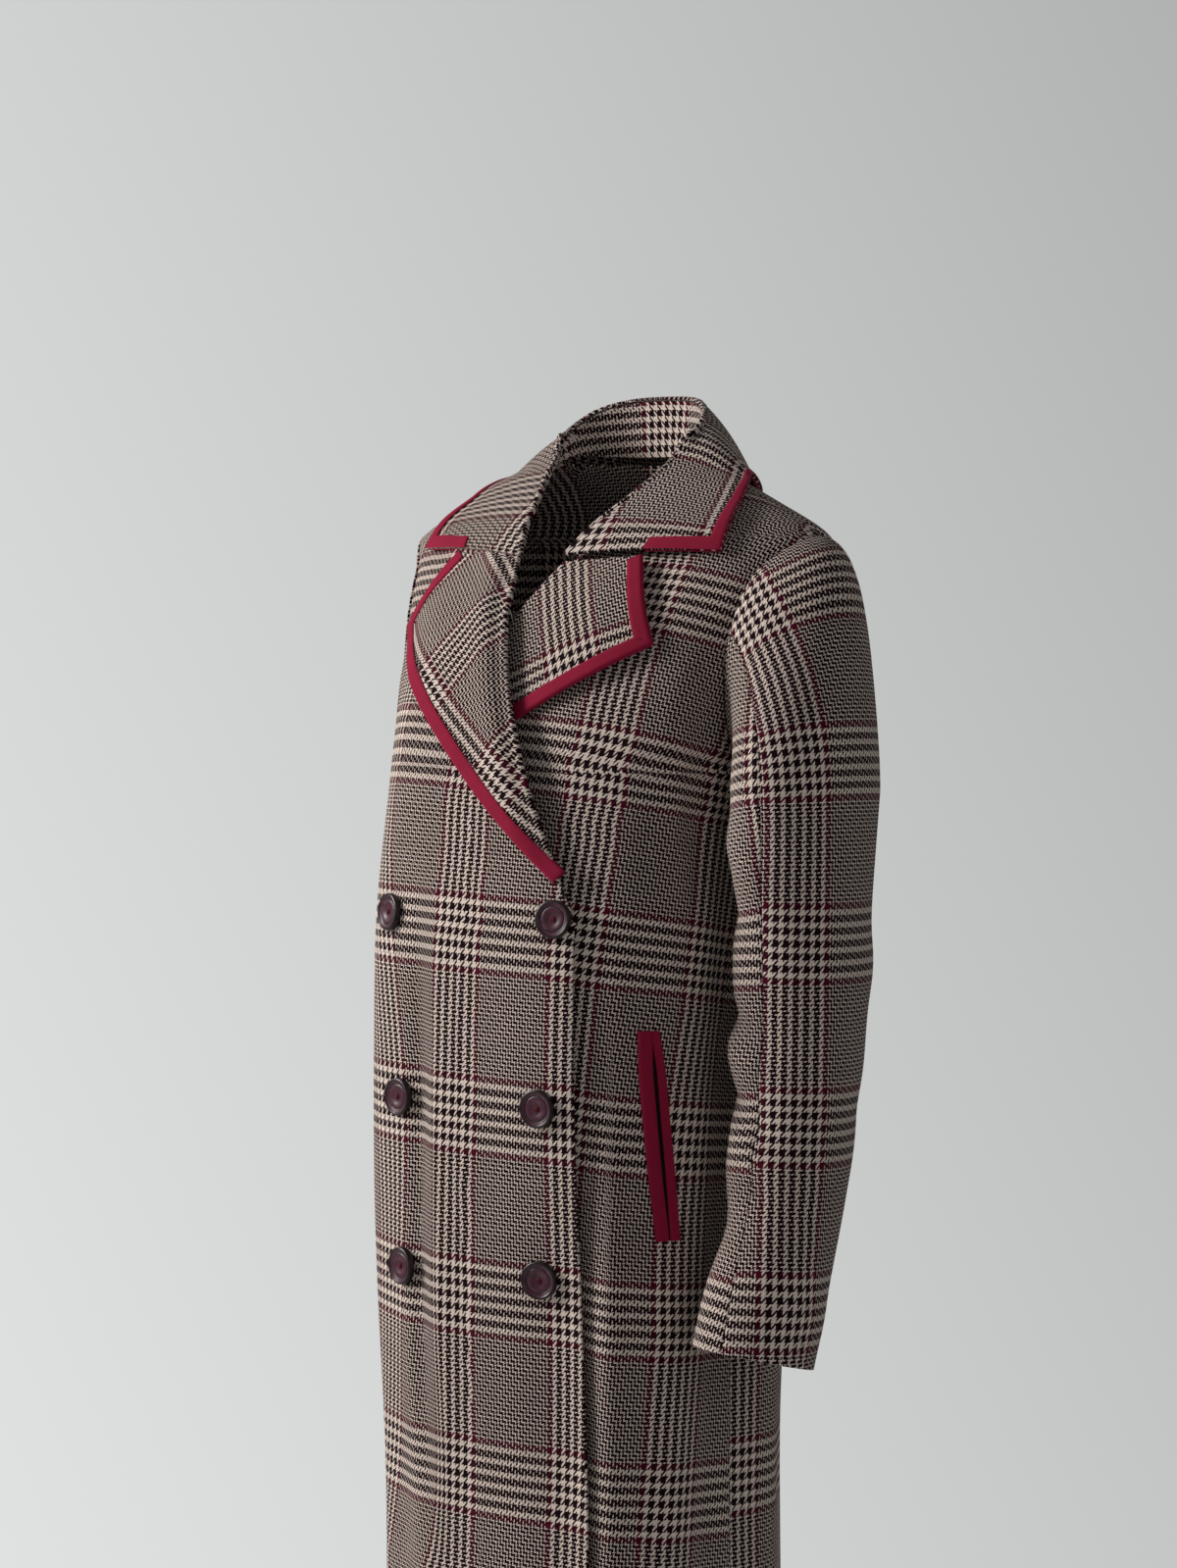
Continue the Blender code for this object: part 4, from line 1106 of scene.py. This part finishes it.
def soften(obj, width, segments, corner, smooth_to):
    """Round the sharp corners of the active object a little, and shade the rest smooth."""
    bevel = obj.modifiers.new("soft edge", "BEVEL")
    bevel.width, bevel.segments = width, segments
    bevel.limit_method, bevel.angle_limit = "ANGLE", math.radians(corner)
    bpy.ops.object.modifier_apply(modifier=bevel.name)
    bpy.ops.object.shade_smooth_by_angle(angle=math.radians(smooth_to))


def sheet(name, grid, flat, wall, material, rim=0.0006):
    """A sheet of cloth with a thickness, about a grid of points, with its flat pattern as its UV map."""
    rows, columns = grid.shape[:2]
    index = np.arange(rows * columns).reshape(rows, columns)
    faces = np.stack([index[:-1, :-1], index[:-1, 1:], index[1:, 1:], index[1:, :-1]], axis=-1).reshape(-1, 4)
    mesh = bpy.data.meshes.new(name)
    mesh.from_pydata(leaning(grid).reshape(-1, 3).tolist(), [], faces.tolist())
    uv = flat.reshape(-1, 2)[faces].astype(np.float32)
    mesh.uv_layers.new(name="cloth").data.foreach_set("uv", uv.ravel())
    mesh.materials.append(material)
    obj = bpy.data.objects.new(name, mesh)
    bpy.context.scene.collection.objects.link(obj)
    solid = obj.modifiers.new("thickness", "SOLIDIFY")
    solid.thickness, solid.offset = wall, 0
    only(obj)
    bpy.ops.object.modifier_apply(modifier=solid.name)
    soften(obj, rim, 2, 60, 40)
    return obj


def place_piece(obj, slot, *nodes):
    """Let a finished piece ride on the coat, and stand for its solids."""
    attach(obj, "root")
    if nodes:
        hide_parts(*nodes)


def cut_cloth(name, grid, flat):
    """A wool piece that stands for the solid of its name, with its flat pattern laid on the check as its UV
    map.
    """
    turn, across, up = GRAIN[name]
    cloth = bpy.context.scene.coat_cloth
    laid = turned(flat, math.radians(turn)) + np.array((across * cloth.warp, up * cloth.weft))
    obj = sheet("cloth_" + name, grid, laid, WALL, look("checked wool", wool, cloth))
    place_piece(obj, "checked_wool", name)


def cut_strip(name, grid, wall, material, slot, *nodes):
    """A strip of cloth laid along a line, with a straight strip of its length and width as its flat pattern.
    """
    length = np.linalg.norm(np.diff(grid[:, grid.shape[1] // 2], axis=0), axis=-1)
    width = np.linalg.norm(np.diff(grid, axis=1), axis=-1)
    up = np.concatenate([[0], np.cumsum(length)])
    out = np.concatenate([np.zeros((len(grid), 1)), np.cumsum(width, axis=1)], axis=1)
    flat = np.stack([out, np.repeat(up[:, None], grid.shape[1], axis=1)], axis=-1)
    obj = sheet(name, grid, flat, wall, material, rim=wall * 0.3)
    place_piece(obj, slot, *nodes)


def cut_felt(name, grid):
    """A felt strip that stands for the solid of its name."""
    trim = bpy.context.scene.coat_trim
    cut_strip("felt_" + name, grid, trim.binding_wall, look("crimson felt", felt, trim), "crimson_felt", name)


# ---------------------------------------------------------------- operators

class COAT_OT_fronts(bpy.types.Operator):
    """Cut and drape the two fronts, right over left."""
    bl_idname = "coat.fronts"
    bl_label = "Fronts"

    def execute(self, context):
        heights = panel_heights()
        for side, sign in SIGN.items():
            grid = handed(panel_grid(side, True), side)
            edge = np.array([inner_x(z, side) for z in heights])
            flat = flattened(grid, 0 if side == "left" else 1, sign * edge)
            share, width, low, high, taken_in = PINCHES[side]
            across = np.linspace(0, 1, FRONT_COLUMNS + 1)[::sign]
            held = np.sin(math.pi * np.clip((heights - low) / (high - low), 0, 1)) ** 0.8
            flat[..., 0] += sign * taken_in * held[:, None] * eased((across - share) / width + 0.5)
            cut_cloth("front_" + side, grid, flat)
        return {"FINISHED"}


class COAT_OT_backs(bpy.types.Operator):
    """Cut and drape the two backs."""
    bl_idname = "coat.backs"
    bl_label = "Backs"

    def execute(self, context):
        for side in SIGN:
            grid = handed(panel_grid(side, False), side)
            cut_cloth("back_" + side, grid, flattened(grid, 1 if side == "left" else 0))
        return {"FINISHED"}


class COAT_OT_sleeves(bpy.types.Operator):
    """Cut and hang the four sleeve pieces."""
    bl_idname = "coat.sleeves"
    bl_label = "Sleeves"

    def execute(self, context):
        # With the usual grid and steps the under sleeves' patterns fold over, so theirs are coarser
        ways = {"upper": {}, "under": {"steps": 60, "rows": 26, "columns": 9, "own": True}}
        for side in SIGN:
            for part, way in ways.items():
                grid = handed(sleeve_grid(part, side), side)
                flat = flattened(grid, 0.5, **way)
                cut_cloth("sleeve_%s_%s" % (part, side), *with_allowance(grid, flat))
        return {"FINISHED"}


class COAT_OT_lapels(bpy.types.Operator):
    """Turn out the two lapels."""
    bl_idname = "coat.lapels"
    bl_label = "Lapels"

    def execute(self, context):
        notch = CURL_COLUMNS + int(NOTCH_SHARE * (LAPEL_COLUMNS - 1))
        tip = CURL_COLUMNS + LAPEL_COLUMNS - 1
        for side in SIGN:
            grid = handed(lapel_grid(side), side)
            flat = flattened(grid, 0.5, rows=40, columns=16)
            ends = (notch, tip) if side == "left" else (tip - notch, 0)
            cut_cloth("lapel_" + side, grid, plumb(flat, (-1, ends[0]), (-1, ends[1])))
        return {"FINISHED"}


class COAT_OT_collar(bpy.types.Operator):
    """Turn down the collar over its stand."""
    bl_idname = "coat.collar"
    bl_label = "Collar"

    def execute(self, context):
        cloth = context.scene.coat_cloth
        grid = collar_fall_grid()
        rise = np.cumsum(np.linalg.norm(np.diff(grid, axis=0), axis=-1), axis=0)
        along = run_of(np.swapaxes(grid[:12], 0, 1))
        # Drawn to whole repeats of the check, so that both ends show the same part of the wide band
        repeat = (BAND + FINE) * cloth.warp
        length = 2 * COLLAR_BAND * cloth.warp + repeat * round(along[-1] / repeat - 0.4)
        run = (along / along[-1] - 1) * length
        flat = np.stack(np.broadcast_arrays(run, np.concatenate([rise[:1] * 0, rise])), axis=-1)
        cut_cloth("collar_fall", grid, flat)
        grid = collar_stand_grid()[:, ::-1]
        cut_cloth("collar_stand", grid, flattened(grid, 0.5, rows=8, columns=50))
        return {"FINISHED"}


class COAT_OT_bindings(bpy.types.Operator):
    """Fold the felt binding round the lapels and the collar."""
    bl_idname = "coat.bindings"
    bl_label = "Bindings"

    def execute(self, context):
        trim = context.scene.coat_trim
        for side in SIGN:
            grid = lapel_binding_grid(side, trim.binding_width, trim.binding_wall)
            cut_felt("binding_lapel_" + side, handed(grid, side))
        cut_felt("binding_collar", collar_binding_grid(trim.binding_width * 1.15, trim.binding_wall))
        return {"FINISHED"}


class COAT_OT_pockets(bpy.types.Operator):
    """Lay the welts of the two slanted pockets."""
    bl_idname = "coat.pockets"
    bl_label = "Pockets"

    def execute(self, context):
        trim = context.scene.coat_trim
        for side in SIGN:
            made = {part: handed(welt_grid(part, side, trim.welt_width, trim.binding_wall), side)
                    for part in ("forward", "rear", "mouth")}
            for part in ("forward", "rear"):
                cut_felt("welt_%s_%s" % (part, side), made[part])
            # The strip under each slit is near black: painted shade in the pocket's mouth
            dark = look("pocket cloth", painted_slit_shade, None)
            cut_strip("pocket_mouth_" + side, made["mouth"], MOUTH_WALL, dark, "checked_wool")
        return {"FINISHED"}


def pick_faces(obj, way):
    """Select in edit mode only the faces that point up, for 1, or down, for -1."""
    bpy.ops.mesh.select_all(action="DESELECT")
    shape = bmesh.from_edit_mesh(obj.data)
    for face in shape.faces:
        if face.normal.z * way > 0.9:
            face.select_set(True)
    shape.select_flush_mode()
    bmesh.update_edit_mesh(obj.data)


def turned_button(buttons):
    """A button lying flat at the origin: rim, bevelled slope, dish, ring groove and a low centre."""
    radius, thickness = buttons.radius, buttons.thickness
    bpy.ops.object.select_all(action="DESELECT")
    bpy.ops.mesh.primitive_cylinder_add(vertices=56, radius=radius, depth=thickness)
    obj = bpy.context.object
    bpy.ops.object.mode_set(mode="EDIT")
    pick_faces(obj, 1)
    for inset, rise in BUTTON_STEPS:
        bpy.ops.mesh.inset(thickness=inset, depth=rise)
    pick_faces(obj, -1)
    bpy.ops.mesh.inset(thickness=radius * BUTTON_BACK_INSET, depth=BUTTON_BACK_DEPTH)
    bpy.ops.object.mode_set(mode="OBJECT")
    soften(obj, 0.00045, 3, 32, 50)
    # The "rim" mask darkens the rim band, and as painted shade the bottom of the ring groove and the button's
    # back and lower side
    dark = obj.data.attributes.new("rim", "FLOAT", "POINT")
    for vertex, item in zip(obj.data.vertices, dark.data):
        out = vertex.co.xy.length
        ring = abs(out - radius + RING_INSET) < 0.0005
        item.value = 1.0 if out > radius - RIM_WIDTH or vertex.co.z < -thickness / 3 or ring else 0.0
    return obj


def sewn_thread(height):
    """Strands of thread lying side by side across a button's centre."""
    strands = []
    for shift in STRAND_PLACES:
        bpy.ops.object.select_all(action="DESELECT")
        bpy.ops.mesh.primitive_cylinder_add(vertices=10, radius=STRAND_RADIUS, depth=STRAND_LENGTH,
                                            location=(shift, 0, height), rotation=(math.radians(90), 0, 0))
        strand = bpy.context.object
        bpy.ops.object.transform_apply(location=True, rotation=True, scale=True)
        bpy.ops.object.mode_set(mode="EDIT")
        bpy.ops.mesh.select_all(action="SELECT")
        bpy.ops.mesh.subdivide(number_cuts=4)
        bpy.ops.object.mode_set(mode="OBJECT")
        for vertex in strand.data.vertices:
            vertex.co.z -= STRAND_SAG * (vertex.co.y / (STRAND_LENGTH / 2)) ** 4
        strands.append(strand)
    only(strands[0])
    for strand in strands:
        strand.select_set(True)
    bpy.ops.object.join()
    bpy.ops.object.shade_smooth_by_angle(angle=math.radians(60))
    return strands[0]


def button_seat(x, z):
    """Where a button rests on the right front, and the direction straight out of the cloth there."""
    across = x + np.array((0, BUTTON_REACH, -BUTTON_REACH, 0, 0))
    up = z + np.array((0, 0, 0, BUTTON_REACH, -BUTTON_REACH))
    spots = form_point(angle_at_x(across, up), up, outer_lift(across, up), "right")
    out = unit(np.cross(spots[1] - spots[2], spots[3] - spots[4]))
    seat = spots[0] + out * max(0.0, float((spots[1:].mean(axis=0) - spots[0]) @ out))
    return leaning(seat * (-1, 1, 1)), out * (-1, 1, 1)


class COAT_OT_buttons(bpy.types.Operator):
    """Turn the six buttons and sew them to the right front."""
    bl_idname = "coat.buttons"
    bl_label = "Buttons"

    def execute(self, context):
        buttons = context.scene.coat_buttons
        pattern = turned_button(buttons)
        stitches = sewn_thread(buttons.thickness / 2 - 0.0008)
        pattern.data.materials.append(look("plum button", horn, buttons))
        stitches.data.materials.append(look("button thread", thread, buttons))
        lift = WALL / 2 + BUTTON_GAP + buttons.thickness / 2
        for row, (z, x) in enumerate(BUTTON_PLACES, start=1):
            for side, sign in SIGN.items():
                seat, out = button_seat(x * -sign, z)
                facing = Vector(out).to_track_quat("Z", "Y").to_matrix().to_4x4()
                spin = Matrix.Rotation(math.radians(-14 + 9 * row), 4, "Z")
                where = Matrix.Translation(Vector(seat + out * lift)) @ facing @ spin
                node = "button_%s_%d" % (side, row)
                thread_name = "thread_%s_%d" % (side, row)
                for source, name, nodes in ((pattern, "turned_" + node, [node]), (stitches, thread_name, [])):
                    copy = bpy.data.objects.new(name, source.data.copy())
                    copy.data.transform(where)
                    context.scene.collection.objects.link(copy)
                    place_piece(copy, "plum_button", *nodes)
        for source in (pattern, stitches):
            bpy.data.objects.remove(source, do_unlink=True)
        return {"FINISHED"}


class COAT_OT_stage(bpy.types.Operator):
    """Set up the camera, the soft light and the pale floor."""
    bl_idname = "coat.stage"
    bl_label = "Stage"

    def execute(self, context):
        stage, scene = context.scene.coat_stage, context.scene
        data = bpy.data.cameras.new("camera")
        data.sensor_fit, data.angle, data.shift_y = "VERTICAL", stage.field, stage.drop
        camera = bpy.data.objects.new("camera", data)
        scene.collection.objects.link(camera)
        turn = stage.azimuth
        camera.location = (math.sin(turn) * stage.distance, -math.cos(turn) * stage.distance, stage.camera_z)
        camera.rotation_euler = (math.radians(90), 0, turn)
        scene.camera = camera
        bpy.ops.object.select_all(action="DESELECT")
        bpy.ops.mesh.primitive_circle_add(vertices=128, radius=FLOOR_RADIUS, fill_type="NGON",
                                          location=(0, 0, stage.floor_z))
        floor = context.object
        floor.name = "floor"
        bpy.ops.object.transform_apply(location=True, rotation=True, scale=True)
        looks = Looks("pale floor", 0.8, Specular_IOR_Level=0.2)
        grain = looks.noise(looks.place(), 3, 3)
        looks.color(looks.mix(grain, scaled(stage.backdrop, 0.97), scaled(stage.backdrop, 1.03)))
        floor.data.materials.append(looks.material)
        self.light_room(scene, stage)
        for name, place, size, color in LIGHTS:
            data = bpy.data.lights.new(name, "AREA")
            data.size, data.energy, data.color = size, getattr(stage, name), color
            light = bpy.data.objects.new(name, data)
            scene.collection.objects.link(light)
            light.location = place
            light.rotation_euler = (Vector(LIGHT_AIM) - Vector(place)).to_track_quat("-Z", "Y").to_euler()
        scene.view_settings.view_transform = "Standard"
        return {"FINISHED"}

    def light_room(self, scene, stage):
        """Even light all round, and for the camera alone a backdrop that shades off across the view."""
        scene.world = bpy.data.worlds.new("room")
        scene.world.use_nodes = True
        tree, turn = scene.world.node_tree, stage.azimuth
        room, sight = Shading(tree), tree.nodes.new("ShaderNodeLightPath")
        axes = tree.nodes.new("ShaderNodeSeparateXYZ")
        room.put(axes.inputs[0], tree.nodes.new("ShaderNodeTexCoord").outputs["Generated"])
        level = room.math("MULTIPLY_ADD", axes.outputs[0], ROOM_TURN * math.cos(turn), ROOM_MIDDLE)
        level = room.math("MULTIPLY_ADD", axes.outputs[1], ROOM_TURN * math.sin(turn), level)
        level = room.math("MULTIPLY_ADD", axes.outputs[2], ROOM_RISE, level)
        level = room.math("MINIMUM", room.math("MAXIMUM", level, ROOM_LEAST), ROOM_MOST)
        glow = room.math("SUBTRACT", room.math("DIVIDE", level, stage.backdrop[1]), stage.ambient)
        background = tree.nodes["Background"]
        background.inputs["Color"].default_value = (*stage.backdrop, 1)
        room.put(background.inputs["Strength"],
                 room.math("MULTIPLY_ADD", glow, sight.outputs["Is Camera Ray"], stage.ambient))


class COAT_PT_panel(bpy.types.Panel):
    """The coat's pieces and settings in the sidebar."""
    bl_idname = "COAT_PT_panel"
    bl_label = "Coat"
    bl_space_type = "VIEW_3D"
    bl_region_type = "UI"
    bl_category = "Coat"

    def draw(self, context):
        for name, group in GROUPS:
            box = self.layout.box()
            for item in group.__annotations__:
                box.prop(getattr(context.scene, name), item)
        for operator in OPERATORS:
            self.layout.operator(operator.bl_idname)


GROUPS = (("coat_cloth", CoatClothSettings), ("coat_trim", CoatTrimSettings),
          ("coat_buttons", CoatButtonSettings), ("coat_stage", CoatStageSettings))
OPERATORS = (COAT_OT_stage, COAT_OT_fronts, COAT_OT_backs, COAT_OT_sleeves, COAT_OT_lapels, COAT_OT_collar,
             COAT_OT_bindings, COAT_OT_pockets, COAT_OT_buttons)
CLASSES = tuple(group for _, group in GROUPS) + OPERATORS + (COAT_PT_panel,)


def register():
    """Add the classes, and the settings to the scene."""
    for item in CLASSES:
        bpy.utils.register_class(item)
    for name, group in GROUPS:
        setattr(bpy.types.Scene, name, bpy.props.PointerProperty(type=group))


def unregister():
    """Take the settings and the classes away."""
    for name, _ in GROUPS:
        delattr(bpy.types.Scene, name)
    for item in reversed(CLASSES):
        bpy.utils.unregister_class(item)


def main():
    """Build the coat."""
    register()
    bpy.ops.coat.stage()
    bpy.ops.coat.fronts()
    bpy.ops.coat.backs()
    bpy.ops.coat.sleeves()
    bpy.ops.coat.lapels()
    bpy.ops.coat.collar()
    bpy.ops.coat.bindings()
    bpy.ops.coat.pockets()
    bpy.ops.coat.buttons()


if __name__ == "__main__":
    main()
